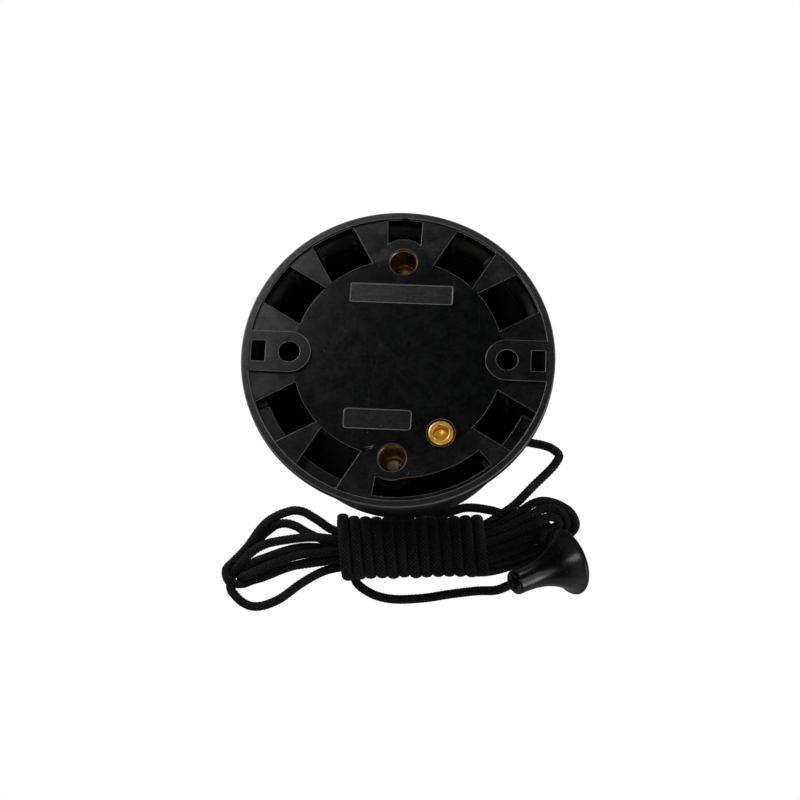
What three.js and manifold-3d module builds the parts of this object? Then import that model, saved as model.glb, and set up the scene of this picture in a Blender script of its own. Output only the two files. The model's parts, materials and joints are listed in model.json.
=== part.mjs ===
// Ceiling pull cord switch, in millimetres.
// +Z points up into the ceiling and the cord pulls along -Z. X runs through the two fixing holes.
// The origin is the middle of the round back panel; the rim and the fixing pads stand above it.

import * as THREE from 'three';
import { mergeVertices } from 'three/addons/utils/BufferGeometryUtils.js';
import Module from 'manifold-3d';

const wasm = await Module();
wasm.setup();

// ---- driving dimensions ----

const fixingCentres = 60.3;
const rimRadius = 43.5;
const rimWidth = 2.0;
const rimStep = 0.8;
const rimBand = 3.0;
const sideTaper = 0.22;
const panelThickness = 2.6;
const wallThickness = 1.6;
const baseDepth = 11;
const discRadius = 29.1;
const windowWidth = 12.9;
const windowOuterRadius = 41.3;
const partGap = 0.3;

const insertTopY = 28.5;
const insertBottomY = -29.3;
const insertDepth = 16;
const earthPlace = { x: 12.9, y: -21.6 };

const coverShoulder = -30;
const coverFront = -47;
const nozzleTip = -49.4;
const nozzleRadius = 5.3;

const stemRadius = 2.2;
const wheelCentre = { x: 12.6, z: -15.5 };
const pinCircle = 6.4;
const drivePinRadius = 1.0;
const rockerPivot = { x: 19.4, z: -21.4 };

const cordRadius = 1.25;
const cordHoleRadius = cordRadius + 0.35;
const hankStart = { x: -18, y: -43.2, z: -48.2 };
const hankRadii = { across: 9, up: 5.8 };
const hankLength = 44.4;
const hankTurn = THREE.MathUtils.degToRad(3.6);
const knobLength = 19.7;
const knobNeckRadius = 3.6;
const knobMouthRadius = 10.2;
const knobPlan = THREE.MathUtils.degToRad(30.8);
const knobDip = THREE.MathUtils.degToRad(23.2);
const knobNeckEnd = new THREE.Vector3(34.8, -54.0, -36.85);

// ---- materials ----

function finish(color, roughness, metalness = 0) {
  return () => new THREE.MeshStandardMaterial({ color, roughness, metalness });
}
const blackPlastic = finish(0x18181a, 0.45);
const greyPlastic = finish(0x8d9094, 0.6);
const whitePlastic = finish(0xe4e2dc, 0.5);
const blackCord = finish(0x121214, 0.9);
const brass = finish(0xc79a3e, 0.3, 1);
const steel = finish(0xa9abae, 0.35, 1);
const copper = finish(0xb4693c, 0.35, 1);

// ---- solids ----

const fullTurn = 2 * Math.PI;
const rimFacets = 64;
const holeFacets = 20;

function solid(geometry) {
  const bare = geometry.clone();
  bare.deleteAttribute('normal');
  bare.deleteAttribute('uv');
  const merged = mergeVertices(bare, 1e-4);
  return new wasm.Manifold(new wasm.Mesh({
    numProp: 3,
    vertProperties: new Float32Array(merged.attributes.position.array),
    triVerts: new Uint32Array(merged.index.array),
  }));
}

function geometryOf(body) {
  const mesh = body.getMesh();
  const geometry = new THREE.BufferGeometry();
  geometry.setAttribute('position', new THREE.BufferAttribute(mesh.vertProperties, 3));
  geometry.setIndex(new THREE.BufferAttribute(mesh.triVerts, 1));
  return geometry;
}

function join(...bodies) {
  return bodies.reduce((whole, next) => whole.add(next));
}

function cut(body, ...tools) {
  return tools.reduce((rest, tool) => rest.subtract(tool), body);
}

function block(x0, x1, y0, y1, z0, z1) {
  const geometry = new THREE.BoxGeometry(x1 - x0, y1 - y0, z1 - z0);
  geometry.translate((x0 + x1) / 2, (y0 + y1) / 2, (z0 + z1) / 2);
  return solid(geometry);
}

// A cylinder along Z.
function drum(radius, z0, z1, x = 0, y = 0, facets = holeFacets) {
  const geometry = new THREE.CylinderGeometry(radius, radius, z1 - z0, facets);
  geometry.rotateX(Math.PI / 2);
  geometry.translate(x, y, (z0 + z1) / 2);
  return solid(geometry);
}

// A cylinder along Y.
function crossDrum(radius, y0, y1, x, z, facets = holeFacets) {
  const geometry = new THREE.CylinderGeometry(radius, radius, y1 - y0, facets);
  geometry.translate(x, (y0 + y1) / 2, z);
  return solid(geometry);
}

// An outline in the XY plane, raised from z0 to z1.
function prism(shape, z0, z1, curveSegments = 12) {
  const geometry = new THREE.ExtrudeGeometry(shape, {
    depth: z1 - z0, bevelEnabled: false, curveSegments,
  });
  geometry.translate(0, 0, z0);
  return solid(geometry);
}

// An outline in the XZ plane, carried from y0 to y1.
function crossPrism(shape, y0, y1, curveSegments = 12) {
  const geometry = new THREE.ExtrudeGeometry(shape, {
    depth: y1 - y0, bevelEnabled: false, curveSegments,
  });
  geometry.rotateX(Math.PI / 2);
  geometry.translate(0, y1, 0);
  return solid(geometry);
}

// A profile of [radius, height] points turned about Z. It runs upward on the outside.
function turned(profile, facets) {
  const points = profile.map(([radius, height]) => new THREE.Vector2(radius, height));
  const geometry = new THREE.LatheGeometry(points, facets);
  geometry.rotateX(Math.PI / 2);
  return solid(geometry);
}

// A turned profile that closes on itself, for a ring or a sleeve.
function turnedRing(profile, facets) {
  return turned([...profile, profile[0]], facets);
}

function sector(inner, outer, fromDegrees, toDegrees) {
  const from = THREE.MathUtils.degToRad(fromDegrees);
  const to = THREE.MathUtils.degToRad(toDegrees);
  const shape = new THREE.Shape();
  shape.absarc(0, 0, outer, from, to, false);
  shape.absarc(0, 0, inner, to, from, true);
  shape.closePath();
  return shape;
}

// A rectangle with its corners rounded.
function plateShape(width, height, corner, x = 0, y = 0) {
  const right = x + width / 2;
  const left = x - width / 2;
  const top = y + height / 2;
  const bottom = y - height / 2;
  const quarter = Math.PI / 2;
  const shape = new THREE.Shape();
  shape.absarc(right - corner, top - corner, corner, 0, quarter, false);
  shape.absarc(left + corner, top - corner, corner, quarter, 2 * quarter, false);
  shape.absarc(left + corner, bottom + corner, corner, 2 * quarter, 3 * quarter, false);
  shape.absarc(right - corner, bottom + corner, corner, 3 * quarter, 4 * quarter, false);
  shape.closePath();
  return shape;
}

function circleShape(radius) {
  const shape = new THREE.Shape();
  shape.absarc(0, 0, radius, 0, fullTurn, false);
  return shape;
}

function tube(path, radius, steps, sides = 3) {
  return solid(new THREE.ExtrudeGeometry(circleShape(radius), {
    steps, curveSegments: sides, extrudePath: path,
  }));
}

function throughPoints(points) {
  return new THREE.CatmullRomCurve3(points.map(([x, y, z]) => new THREE.Vector3(x, y, z)));
}

// ---- the root group and named nodes ----

const pullCordSwitch = new THREE.Group();

function add(name, body, material, parent = pullCordSwitch) {
  const mesh = new THREE.Mesh(geometryOf(body), material());
  mesh.name = name;
  parent.add(mesh);
  return mesh;
}

// ---- base plate ----

// Radius of the leaning outer side at height z.
function sideRadius(z) {
  return rimRadius - sideTaper * (rimStep - z);
}

// Rim and side wall as one ring.
function baseRing() {
  const edge = 0.4;
  const rimInner = rimRadius - rimWidth;
  const bandLow = rimStep - rimBand;
  return turnedRing([
    [sideRadius(-baseDepth) - wallThickness, -baseDepth],
    [sideRadius(-baseDepth), -baseDepth],
    [sideRadius(bandLow), bandLow],
    [rimRadius, bandLow],
    [rimRadius, rimStep - edge],
    [rimRadius - edge, rimStep],
    [rimInner, rimStep],
    [rimInner, -panelThickness],
  ], rimFacets);
}

// One straight-sided window between two ribs, turned to its place on the panel.
function windowCutter(centreDegrees) {
  const below = -panelThickness - 1;
  const outer = drum(windowOuterRadius, below, 1, 0, 0, rimFacets);
  const inner = drum(discRadius, below - 1, 2, 0, 0, rimFacets);
  const half = windowWidth / 2;
  const radial = block(discRadius - 3, windowOuterRadius + 1, -half, half, below, 1);
  const placed = radial.rotate([0, 0, centreDegrees]);
  return cut(outer.intersect(placed), inner);
}

// The narrow window above the top insert, with a small nick in the rim.
function topWindowCutter() {
  const below = -panelThickness - 1;
  const outer = drum(windowOuterRadius, below, 1, 0, 0, rimFacets);
  const halfWidth = 4.9;
  const opening = outer.intersect(block(-halfWidth, halfWidth, insertTopY, rimRadius, below - 1, 1));
  const boss = drum(insertBossRadius, below - 1, 2, 0, insertTopY, 32);
  const nick = drum(2.0, below, rimStep + 1, 0, windowOuterRadius - 1.6);
  return join(cut(opening, boss), nick);
}

function curvedSlotCutter() {
  const slot = { inner: 35.1, outer: 40.3, from: -97, to: -48 };
  return prism(sector(slot.inner, slot.outer, slot.from, slot.to), -panelThickness - 1, 1);
}

// A raised pad round a fixing hole, running out to the rim.
function fixingPad(side) {
  const halfWidth = 6;
  const reach = rimRadius - rimWidth / 2;
  const hole = side * fixingCentres / 2;
  const bar = side > 0
    ? block(hole, reach, -halfWidth, halfWidth, -1, rimStep)
    : block(-reach, hole, -halfWidth, halfWidth, -1, rimStep);
  return join(bar, drum(halfWidth, -1, rimStep, hole, 0, 32));
}

const fixingHoleRadius = 2.95;
const screwHoleInPlastic = 1.5;
const earthRadius = 3.6;
const insertBossRadius = 7.0;
const lowerBossRadius = 6.4;
const insertWellRadius = 4.5;
const bossFoot = -16.5;

function buildBasePlate() {
  const below = -panelThickness;
  const panel = drum(rimRadius - rimWidth + 0.5, below, 0, 0, 0, rimFacets);
  const ledgeInner = 37.8;
  const ledgeOuter = rimRadius - rimWidth + 0.4;
  const ledges = [[-156.3, -109], [-50, -23.4]].map(([from, to]) => (
    prism(sector(ledgeInner, ledgeOuter, from, to), below - 2.2, below + 0.2)
  ));
  const windows = [30, 60, 120, 150, -150, -120, -30].map(windowCutter);
  let plate = cut(panel, ...windows, topWindowCutter(), curvedSlotCutter());
  plate = join(plate, baseRing(), ...ledges, fixingPad(1), fixingPad(-1));
  plate = join(
    plate,
    drum(insertBossRadius, bossFoot, 0, 0, insertTopY, 32),
    drum(lowerBossRadius, bossFoot, -1, 0, insertBottomY, 32),
    drum(5.2, -10, -1, earthPlace.x, earthPlace.y),
    ...housingScrewPlaces.map(({ x, y }) => drum(3, housingEarTop + partGap, -1, x, y)),
  );
  const low = -30;
  const high = 5;
  const squareHalf = 3;
  const squareInner = 36.85;
  const squareOuter = 40.7;
  const recessDepth = 0.3;
  return cut(
    plate,
    drum(fixingHoleRadius, low, high, fixingCentres / 2, 0, 32),
    drum(fixingHoleRadius, low, high, -fixingCentres / 2, 0, 32),
    block(squareInner, squareOuter, -squareHalf, squareHalf, low, high),
    block(-squareOuter, -squareInner, -squareHalf, squareHalf, low, high),
    drum(insertWellRadius, low, high, 0, insertTopY, 32),
    drum(insertWellRadius, low, high, 0, insertBottomY, 32),
    drum(earthRadius + partGap, low, high, earthPlace.x, earthPlace.y),
    prism(plateShape(29, 6, 0.3, 0, 18.7), -recessDepth, 1, 2),
    prism(plateShape(18.7, 6, 1.5, -4.65, -18.5), -recessDepth, 1, 4),
    ...housingScrewPlaces.map(({ x, y }) => drum(screwHoleInPlastic, low, -1.4, x, y)),
  );
}

// ---- brass inserts, cover screws and the earth terminal ----

// A brass sleeve with a wide bore, a shoulder, a floor and a narrow hole for the screw.
function buildInsert() {
  const outer = 4.2;
  const wide = 3.7;
  const narrow = 3.4;
  const thread = 1.95;
  const top = -1;
  const shoulder = -11.4;
  const seat = -14;
  return turnedRing([
    [thread, -insertDepth], [outer, -insertDepth], [outer, top], [wide, top],
    [wide, shoulder], [narrow, shoulder], [narrow, seat], [thread, seat],
  ], 24);
}

const screwSeat = -31.3;

// A screw that points up through its insert and ends a little above the insert's floor.
function buildCoverScrew() {
  const head = 3.4;
  const headLow = screwSeat - 2.3;
  const shank = 1.6;
  const tip = -8.5;
  const bevel = 0.6;
  const body = turned([
    [0, headLow], [head - bevel, headLow], [head, headLow + bevel], [head, screwSeat],
    [shank, screwSeat], [shank, tip - bevel], [shank - bevel, tip], [0, tip],
  ], 24);
  return cut(body, block(-head, head, -0.5, 0.5, headLow - 1, headLow + 1.1));
}

// A brass tube, blind at its front half, with a wire hole across it.
function buildEarthTerminal() {
  const low = -14.5;
  const top = -0.15;
  const bore = 2.2;
  const boreFloor = -5.5;
  const body = turned([
    [0, low], [earthRadius, low], [earthRadius, top - 0.25], [earthRadius - 0.25, top],
    [bore + 0.1, top], [bore, top - 0.35], [bore, boreFloor], [0, boreFloor],
  ], 24);
  const wireHole = crossDrum(1.5, -5, 5, 0, -11.4, 16);
  const screwHole = drum(1.5, -16, -11, 0, 0, 16);
  return cut(body, wireHole, screwHole);
}

// A slotted clamp screw that points up, with its head at the bottom.
function buildClampScrew(headRadius, shankRadius, headLow, headHigh, tip) {
  const body = join(
    drum(headRadius, headLow, headHigh, 0, 0, 16),
    drum(shankRadius, headHigh - 0.2, tip, 0, 0, 16),
  );
  return cut(body, block(-headRadius - 1, headRadius + 1, -0.35, 0.35, headLow - 1, headLow + 0.7));
}

// ---- cover ----

const guideRadius = 3.0;

// Outer profile, from the nozzle tip on the axis up to the edge that meets the base.
function coverOutline() {
  const edge = -baseDepth - partGap;
  const frontRadius = 30;
  const cornerRadius = 35;
  const path = new THREE.Path();
  path.moveTo(0, nozzleTip);
  path.lineTo(nozzleRadius - 0.9, nozzleTip);
  path.quadraticCurveTo(nozzleRadius - 0.2, nozzleTip, nozzleRadius, nozzleTip + 0.8);
  path.quadraticCurveTo(nozzleRadius + 0.4, coverFront, nozzleRadius + 4, coverFront + 0.2);
  path.lineTo(frontRadius, coverFront + 1);
  path.quadraticCurveTo(cornerRadius - 0.4, coverFront + 1.4, cornerRadius, coverFront + 5.5);
  path.lineTo(sideRadius(coverShoulder), coverShoulder);
  path.lineTo(sideRadius(edge), edge);
  path.lineTo(0, edge);
  return path.getPoints(3).map((point) => [point.x, point.y]);
}

// Inner profile: the hollow under the dome.
function coverHollow() {
  const floor = coverFront + 1.5;
  const mouth = -baseDepth + 2;
  const path = new THREE.Path();
  path.moveTo(0, floor);
  path.lineTo(29, floor + 1.2);
  path.quadraticCurveTo(32.8, floor + 1.5, 33.3, floor + 4.2);
  path.lineTo(sideRadius(coverShoulder) - wallThickness, coverShoulder);
  path.lineTo(sideRadius(mouth) - wallThickness, mouth);
  path.lineTo(0, mouth);
  return path.getPoints(3).map((point) => [point.x, point.y]);
}

const postTop = bossFoot - partGap;
const postStep = -28;
const screwHoleRadius = 2.1;
const headWellRadius = 4.3;
const belowCover = -60;

function coverPost(y) {
  return join(
    drum(4.4, postStep - 8, postTop, 0, y, 24),
    drum(5.6, coverFront + 1, postStep, 0, y, 24),
  );
}

function coverWell(y) {
  return join(
    drum(screwHoleRadius, belowCover, 0, 0, y, 16),
    drum(headWellRadius, belowCover, screwSeat + partGap, 0, y, 24),
  );
}

function buildCover() {
  const outside = turned(coverOutline(), 40);
  const hollow = turned(coverHollow(), 32);
  const posts = [insertTopY, insertBottomY];
  const shell = cut(outside, hollow);
  const filled = join(shell, ...posts.map((y) => coverPost(y).intersect(outside)));
  const guideHole = drum(guideRadius + partGap, belowCover, coverFront + 7, 0, 0, 24);
  return cut(filled, guideHole, ...posts.map(coverWell));
}

// A flanged bush that keeps the cord off the nozzle's edge.
function buildCordGuide() {
  const flange = 4.4;
  const low = nozzleTip - 1;
  const high = coverFront + 0.4;
  return turnedRing([
    [cordHoleRadius, low], [flange - 0.2, low], [flange, low + partGap], [flange, nozzleTip - partGap],
    [guideRadius, nozzleTip - partGap], [guideRadius, high], [cordHoleRadius, high],
  ], 20);
}

// ---- mechanism housing and lid ----

const housing = { left: -8.2, right: 23.4, front: -6.5, back: 10.5, floor: -28.5, top: -3 };
const housingWall = 1.6;
const housingBack = 1.5;
const housingEarTop = -7.4;
const housingScrewPlaces = [{ x: -4, y: 13.8 }, { x: 19, y: 13.8 }];
const lidScrewPlaces = [{ x: -5, z: -5.9 }, { x: 19, z: -6.4 }];
const contactBand = { near: 4.9, far: 7.1 };
const axleHoleRadius = 1.5;
const pinHoleRadius = 1.2;
const lidScrewHoleRadius = 1.1;
const earHalfWidth = 3.6;
const stemHoleRadius = stemRadius + 0.5;

// An open-fronted box round the slider, the wheel and the rocker, with two screw ears behind.
function buildHousing() {
  const { left, right, front, back, floor, top } = housing;
  const shell = block(left, right, front, back, floor, top);
  const hollow = block(
    left + housingWall, right - housingWall, front - 1, back - housingBack,
    floor + housingBack, top - housingWall,
  );
  const ears = housingScrewPlaces.map(({ x, y }) => block(
    x - earHalfWidth, x + earHalfWidth, back - 1, y + earHalfWidth,
    housingEarTop - housingWall, housingEarTop,
  ));
  const slotHalfHeight = 0.75;
  const contactSlots = [-25.6, -20.4].map((z) => block(
    left - 1, left + 2, contactBand.near - 0.4, contactBand.far + 0.4,
    z - slotHalfHeight, z + slotHalfHeight,
  ));
  const posts = [
    block(left + 1, -3.4, front, back - 1, -7.2, top - 1),
    block(17.2, right - 1, front, back - 1, -8.4, top - 1),
  ];
  const holes = [
    drum(stemHoleRadius, floor - 1, floor + 3, 0, 0),
    crossDrum(axleHoleRadius, back - 3, back + 1, wheelCentre.x, wheelCentre.z, 16),
    crossDrum(pinHoleRadius, back - 3, back + 1, rockerPivot.x, rockerPivot.z, 16),
    ...housingScrewPlaces.map(({ x, y }) => drum(1.5, -12, 0, x, y, 16)),
    ...lidScrewPlaces.map(({ x, z }) => crossDrum(lidScrewHoleRadius, front - 1, 6, x, z, 12)),
    ...contactSlots,
  ];
  return cut(join(cut(shell, hollow), ...ears, ...posts), ...holes);
}

const lidFront = -8.3;
const lidBack = -6.8;

// The flat front of the housing, which also holds the rocker pin's other end.
function buildLid() {
  const { left, right, floor, top } = housing;
  const plate = block(left, right, lidFront, lidBack, floor, top);
  return cut(
    plate,
    crossDrum(pinHoleRadius, lidFront - 1, lidBack + 1, rockerPivot.x, rockerPivot.z, 16),
    ...lidScrewPlaces.map(({ x, z }) => (
      crossDrum(lidScrewHoleRadius, lidFront - 1, lidBack + 1, x, z, 12)
    )),
  );
}

// A small screw along +Y with its head at the front.
function buildLidScrew({ x, z }) {
  const head = 1.7;
  const shank = 0.8;
  const slotHalfWidth = 0.25;
  const body = join(
    crossDrum(head, lidFront - 1.4, lidFront - partGap, x, z, 16),
    crossDrum(shank, lidFront - 0.5, 4, x, z, 12),
  );
  return cut(body, block(x - 2, x + 2, lidFront - 2, lidFront - 0.9, z - slotHalfWidth, z + slotHalfWidth));
}

// ---- slider and return spring ----

const sliderTop = -7.5;
const armLow = wheelCentre.z + pinCircle * Math.SQRT1_2 + drivePinRadius + 0.35;
const cupTop = -29;
const cupLow = -35.8;

// The stem that rises in the housing, its arm that pushes the wheel, and the cup that holds the knot.
function buildSlider() {
  const flangeRadius = 4.6;
  const cupRadius = 3.4;
  const stem = drum(stemRadius, cupTop - 1, sliderTop, 0, 0);
  const flange = drum(flangeRadius, armLow, sliderTop, 0, 0, 24);
  const armReach = 9.3;
  const armHalfWidth = 1.6;
  const knotRoomRadius = 2.5;
  const arm = block(0, armReach, -armHalfWidth, armHalfWidth, armLow, sliderTop);
  const cup = drum(cupRadius, cupLow, cupTop, 0, 0, 24);
  const knotRoom = drum(knotRoomRadius, cupLow + 1, cupTop - 1.2, 0, 0);
  const sideSlot = block(-1.9, 1.9, -cupRadius - 1, 0, cupLow + 1, cupTop - 1.2);
  const cordHole = drum(cordHoleRadius, cupLow - 1, cupLow + 2, 0, 0, 16);
  return cut(join(stem, flange, arm, cup), knotRoom, sideSlot, cordHole);
}

class Helix extends THREE.Curve {
  constructor(radius, low, high, coils) {
    super();
    Object.assign(this, { radius, low, high, coils });
  }

  getPoint(t, target = new THREE.Vector3()) {
    const angle = this.coils * fullTurn * t;
    const height = this.low + (this.high - this.low) * t;
    return target.set(this.radius * Math.cos(angle), this.radius * Math.sin(angle), height);
  }
}

// A coil round the stem, between the housing's floor and the arm.
function buildReturnSpring() {
  const wire = 0.35;
  const coilRadius = 3.7;
  const coils = 6;
  const low = housing.floor + housingBack + partGap + wire;
  const high = armLow - partGap - wire;
  return tube(new Helix(coilRadius, low, high, coils), wire, 72);
}

// ---- ratchet wheel, its axle and its detent spring ----

const wheelRadius = 7.4;
const notchCircle = wheelRadius + 0.5;
const notchRadius = 1.2;
const camRadii = { long: 4.65, short: 3.73 };

// A disc with four drive pins in front, detent notches round it and an oval cam behind.
function buildRatchetWheel() {
  const disc = crossDrum(wheelRadius, 2, 4, wheelCentre.x, wheelCentre.z, 32);
  const pins = [45, 135, 225, 315].map((degrees) => {
    const angle = THREE.MathUtils.degToRad(degrees);
    const x = wheelCentre.x + pinCircle * Math.cos(angle);
    const z = wheelCentre.z + pinCircle * Math.sin(angle);
    return crossDrum(drivePinRadius, -1.4, 2.5, x, z, 12);
  });
  const notches = [0, 90, 180, 270].map((degrees) => {
    const angle = THREE.MathUtils.degToRad(degrees);
    const x = wheelCentre.x + notchCircle * Math.cos(angle);
    const z = wheelCentre.z + notchCircle * Math.sin(angle);
    return crossDrum(notchRadius, 1, 5, x, z, 12);
  });
  const lobe = new THREE.Shape();
  lobe.absellipse(wheelCentre.x, wheelCentre.z, camRadii.long, camRadii.short, 0, fullTurn, false, 0);
  const cam = crossPrism(lobe, 3.5, 6.8, 14);
  const bore = crossDrum(axleHoleRadius, -5, 10, wheelCentre.x, wheelCentre.z, 16);
  return cut(join(disc, ...pins, cam), ...notches, bore);
}

// A bent strip that presses into a notch of the wheel from above.
function buildDetentSpring() {
  const thickness = 0.5;
  const dip = wheelCentre.z + wheelRadius + 0.4;
  const clampLow = -5.5;
  const tailLow = -6.1;
  const ends = { clamp: 4, tail: 16.4 };
  const strip = new THREE.Shape();
  strip.moveTo(ends.clamp, clampLow + thickness);
  strip.lineTo(8, clampLow + thickness);
  strip.lineTo(wheelCentre.x, dip + thickness);
  strip.lineTo(ends.tail, tailLow + thickness);
  strip.lineTo(ends.tail, tailLow);
  strip.lineTo(wheelCentre.x, dip);
  strip.lineTo(7.8, clampLow);
  strip.lineTo(ends.clamp, clampLow);
  strip.closePath();
  return crossPrism(strip, 2, 4, 1);
}

// ---- contacts ----

// A hub on the rocker pin with the arm that the cam tilts.
function buildRocker() {
  const { x, z } = rockerPivot;
  const near = 4.3;
  const far = 7.7;
  const hubRadius = 1.9;
  const armEnd = 5.5;
  const hub = crossDrum(hubRadius, near, far, x, z, 20);
  const arm = block(armEnd, x, near, far, z + 0.2, z + 1.82);
  return cut(join(hub, arm), crossDrum(pinHoleRadius, near - 1, far + 1, x, z, 16));
}

const bladeTop = rockerPivot.z - 0.1;
const bladeLow = bladeTop - 0.45;

// The spring blade under the rocker's arm, with its contact button.
function buildMovingContact() {
  const ends = { button: -1, root: 8.5 };
  const buttonRadius = 0.9;
  const blade = block(ends.button, ends.root, contactBand.near, contactBand.far, bladeLow, bladeTop);
  const middle = (contactBand.near + contactBand.far) / 2;
  const button = drum(buttonRadius, bladeLow - 0.5, bladeTop + 0.5, ends.button + 2, middle, 12);
  return join(blade, button);
}

const footHigh = -13.2;
const footLow = -13.8;
const strapThickness = 0.6;
const clampRow = -14.5;
const stripHalfWidth = 1.1;
const footHalfWidth = 2.4;
const clampHoleRadius = 1.8;
const pillarPlaces = { l2: -15.5, l1: -6.3, com: 2.9 };

// A contact strip that leaves the housing on its left and turns up to its terminal pillar.
function fixedContact(low, strapX, footEnd, screwX) {
  const high = low + strapThickness;
  const tongue = block(strapX, 3, contactBand.near, contactBand.far, low, high);
  const side = strapX + strapThickness;
  const run = block(strapX, side, clampRow - stripHalfWidth, contactBand.far, low, low + 2.5);
  const riser = block(strapX, side, clampRow - stripHalfWidth, clampRow + stripHalfWidth, low, footHigh);
  const foot = block(
    Math.min(strapX, footEnd), Math.max(strapX, footEnd),
    clampRow - footHalfWidth, clampRow + footHalfWidth, footLow, footHigh,
  );
  return cut(join(tongue, run, riser, foot), drum(clampHoleRadius, -20, -10, screwX, clampRow, 16));
}

// The strip along the lid that joins the rocker pin to its terminal pillar.
function buildCommonStrip() {
  const near = lidFront - 1.1;
  const far = near + strapThickness;
  const barHalfHeight = 1.5;
  const left = pillarPlaces.com - barHalfHeight;
  const right = rockerPivot.x + barHalfHeight;
  const low = rockerPivot.z - barHalfHeight;
  const bar = block(left, right, near, far, low, low + 2 * barHalfHeight);
  const riser = block(left, left + 2 * barHalfHeight, near, far, low, footHigh);
  const foot = block(
    pillarPlaces.com - footHalfWidth, pillarPlaces.com + footHalfWidth,
    clampRow - footHalfWidth, far, footLow, footHigh,
  );
  return cut(
    join(bar, riser, foot),
    crossDrum(pinHoleRadius, near - 1, far + 1, rockerPivot.x, rockerPivot.z, 16),
    drum(clampHoleRadius, -20, -10, pillarPlaces.com, clampRow, 16),
  );
}

// ---- terminal block and pillars ----

const pillar = { halfX: 3.2, halfY: 3, low: -12.5, high: -4.6 };
const wireHeight = -8;

// A moulded block with three pockets for the pillars and a wire entry to each.
function buildTerminalBlock() {
  const body = block(-20, 7.2, -19.3, -10.3, -12.9, -3);
  const pockets = Object.values(pillarPlaces).flatMap((x) => [
    block(
      x - pillar.halfX - partGap, x + pillar.halfX + partGap,
      clampRow - pillar.halfY - partGap, clampRow + pillar.halfY + partGap,
      -14, pillar.high + partGap,
    ),
    crossDrum(2.1, -21, clampRow, x, wireHeight, 16),
  ]);
  return cut(body, ...pockets);
}

// A square pillar with a wire hole across it and a screw hole from below.
function buildPillar() {
  const body = block(-pillar.halfX, pillar.halfX, -pillar.halfY, pillar.halfY, pillar.low, pillar.high);
  const wireHole = crossDrum(1.7, -5, 5, 0, wireHeight, 16);
  return cut(body, wireHole, drum(clampHoleRadius, -20, wireHeight, 0, 0, 16));
}

// ---- cord and knob ----

// A point inside the knob, given along its axis from the neck end.
const knobAxis = new THREE.Vector3(
  Math.cos(knobDip) * Math.cos(knobPlan),
  Math.cos(knobDip) * Math.sin(knobPlan),
  -Math.sin(knobDip),
);

function onKnobAxis(distance) {
  return knobNeckEnd.clone().addScaledVector(knobAxis, distance).toArray();
}

function ball(radius, centre) {
  const geometry = new THREE.SphereGeometry(radius, 12, 8);
  geometry.translate(...centre);
  return solid(geometry);
}

// The wrapped middle of the hank: a flattened roll.
function hankRoll() {
  const shape = new THREE.Shape();
  shape.absellipse(0, 0, hankRadii.up, hankRadii.across, 0, fullTurn, false, 0);
  const geometry = new THREE.ExtrudeGeometry(shape, {
    depth: hankLength, bevelEnabled: false, curveSegments: 10,
  });
  geometry.rotateY(Math.PI / 2);
  geometry.rotateZ(hankTurn);
  geometry.translate(hankStart.x, hankStart.y, hankStart.z);
  return solid(geometry);
}

const cordRuns = {
  lead: [
    [0, 0, -32], [0, 0, -40], [0, 0, -48], [0, 0, -50.8], [1.3, -0.2, -52.6], [4, -0.7, -53.1],
    [20, -3.6, -53.1], [38.7, -6.6, -53.1], [46.6, -8.2, -53.1], [48, -10.9, -53.1],
    [46.6, -14, -53.1], [39, -22.7, -51], [31, -30, -48], [22, -37, -47],
  ],
  leftUpper: [
    [-12, -40.5, -47], [-19, -38.8, -46.5], [-25, -34.8, -47], [-31.3, -31.9, -48], [-37, -33.6, -49],
    [-42, -37.6, -50], [-46.6, -44.5, -51.3], [-49.4, -51, -52], [-47.6, -54.3, -52.6],
    [-41, -52.2, -52.6], [-29, -47.6, -51.4], [-12, -46, -50],
  ],
  leftMiddle: [
    [-12, -41.5, -46.5], [-25, -38.6, -46.2], [-30, -36.7, -47], [-36, -35.4, -47.8],
    [-42.6, -39.4, -48.6], [-46.6, -46, -49.6], [-46.2, -49.6, -49.8], [-41.8, -45.2, -49.6],
    [-35, -41.6, -49], [-26, -41, -48.4], [-12, -43, -48],
  ],
  leftLower: [
    [-12, -47.6, -51.6], [-20.8, -49.9, -52], [-29.3, -56.5, -53], [-36, -60, -53.1],
    [-42, -60.9, -53.1], [-46.8, -58, -53.1], [-47.4, -53.2, -52], [-42, -50, -50.6],
    [-28, -45.6, -49.6], [-12, -44.5, -49],
  ],
  rightUpper: [
    [24, -38, -47], [31.8, -31.4, -46], [36.2, -29.2, -46], [40.4, -26.9, -46.4], [44.4, -26, -47],
    [48.2, -27.4, -47.2], [51, -30.6, -47], [51.8, -34, -48.8], [48.6, -36, -51.2],
    [43, -36.4, -52], [34, -38.6, -52], [22, -41, -51],
  ],
  rightMiddle: [
    [22, -38, -46], [31, -35.4, -46.2], [37, -33.8, -45.6], [42.4, -31.6, -45.2], [46.8, -29.4, -45.4],
    [49.4, -30.4, -46.2], [48, -33, -46.8], [42, -36, -47], [36.6, -38.6, -48], [22, -41.5, -48],
  ],
  tail: [
    [-12, -46, -52.6], [-11.6, -51.6, -53.1], [-7.1, -55.1, -53.1], [-1.1, -56.6, -53.1],
    [7.7, -56.6, -52.6], [16.6, -56.4, -49], [24.6, -57.6, -41.5], [29.6, -57.2, -36.2],
    onKnobAxis(-1.6), onKnobAxis(0.6), onKnobAxis(6), onKnobAxis(13),
  ],
};

// The whole cord as one solid: lead, hank, loops, tail and its two knots.
function buildCord() {
  const steps = { lead: 44, tail: 34 };
  const runs = Object.entries(cordRuns).map(([name, points]) => (
    tube(throughPoints(points), cordRadius, steps[name] ?? 28)
  ));
  const sliderKnot = ball(2.1, [0, 0, -32.3]);
  const knobKnot = ball(2.2, onKnobAxis(13));
  return join(hankRoll(), ...runs, sliderKnot, knobKnot);
}

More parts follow.
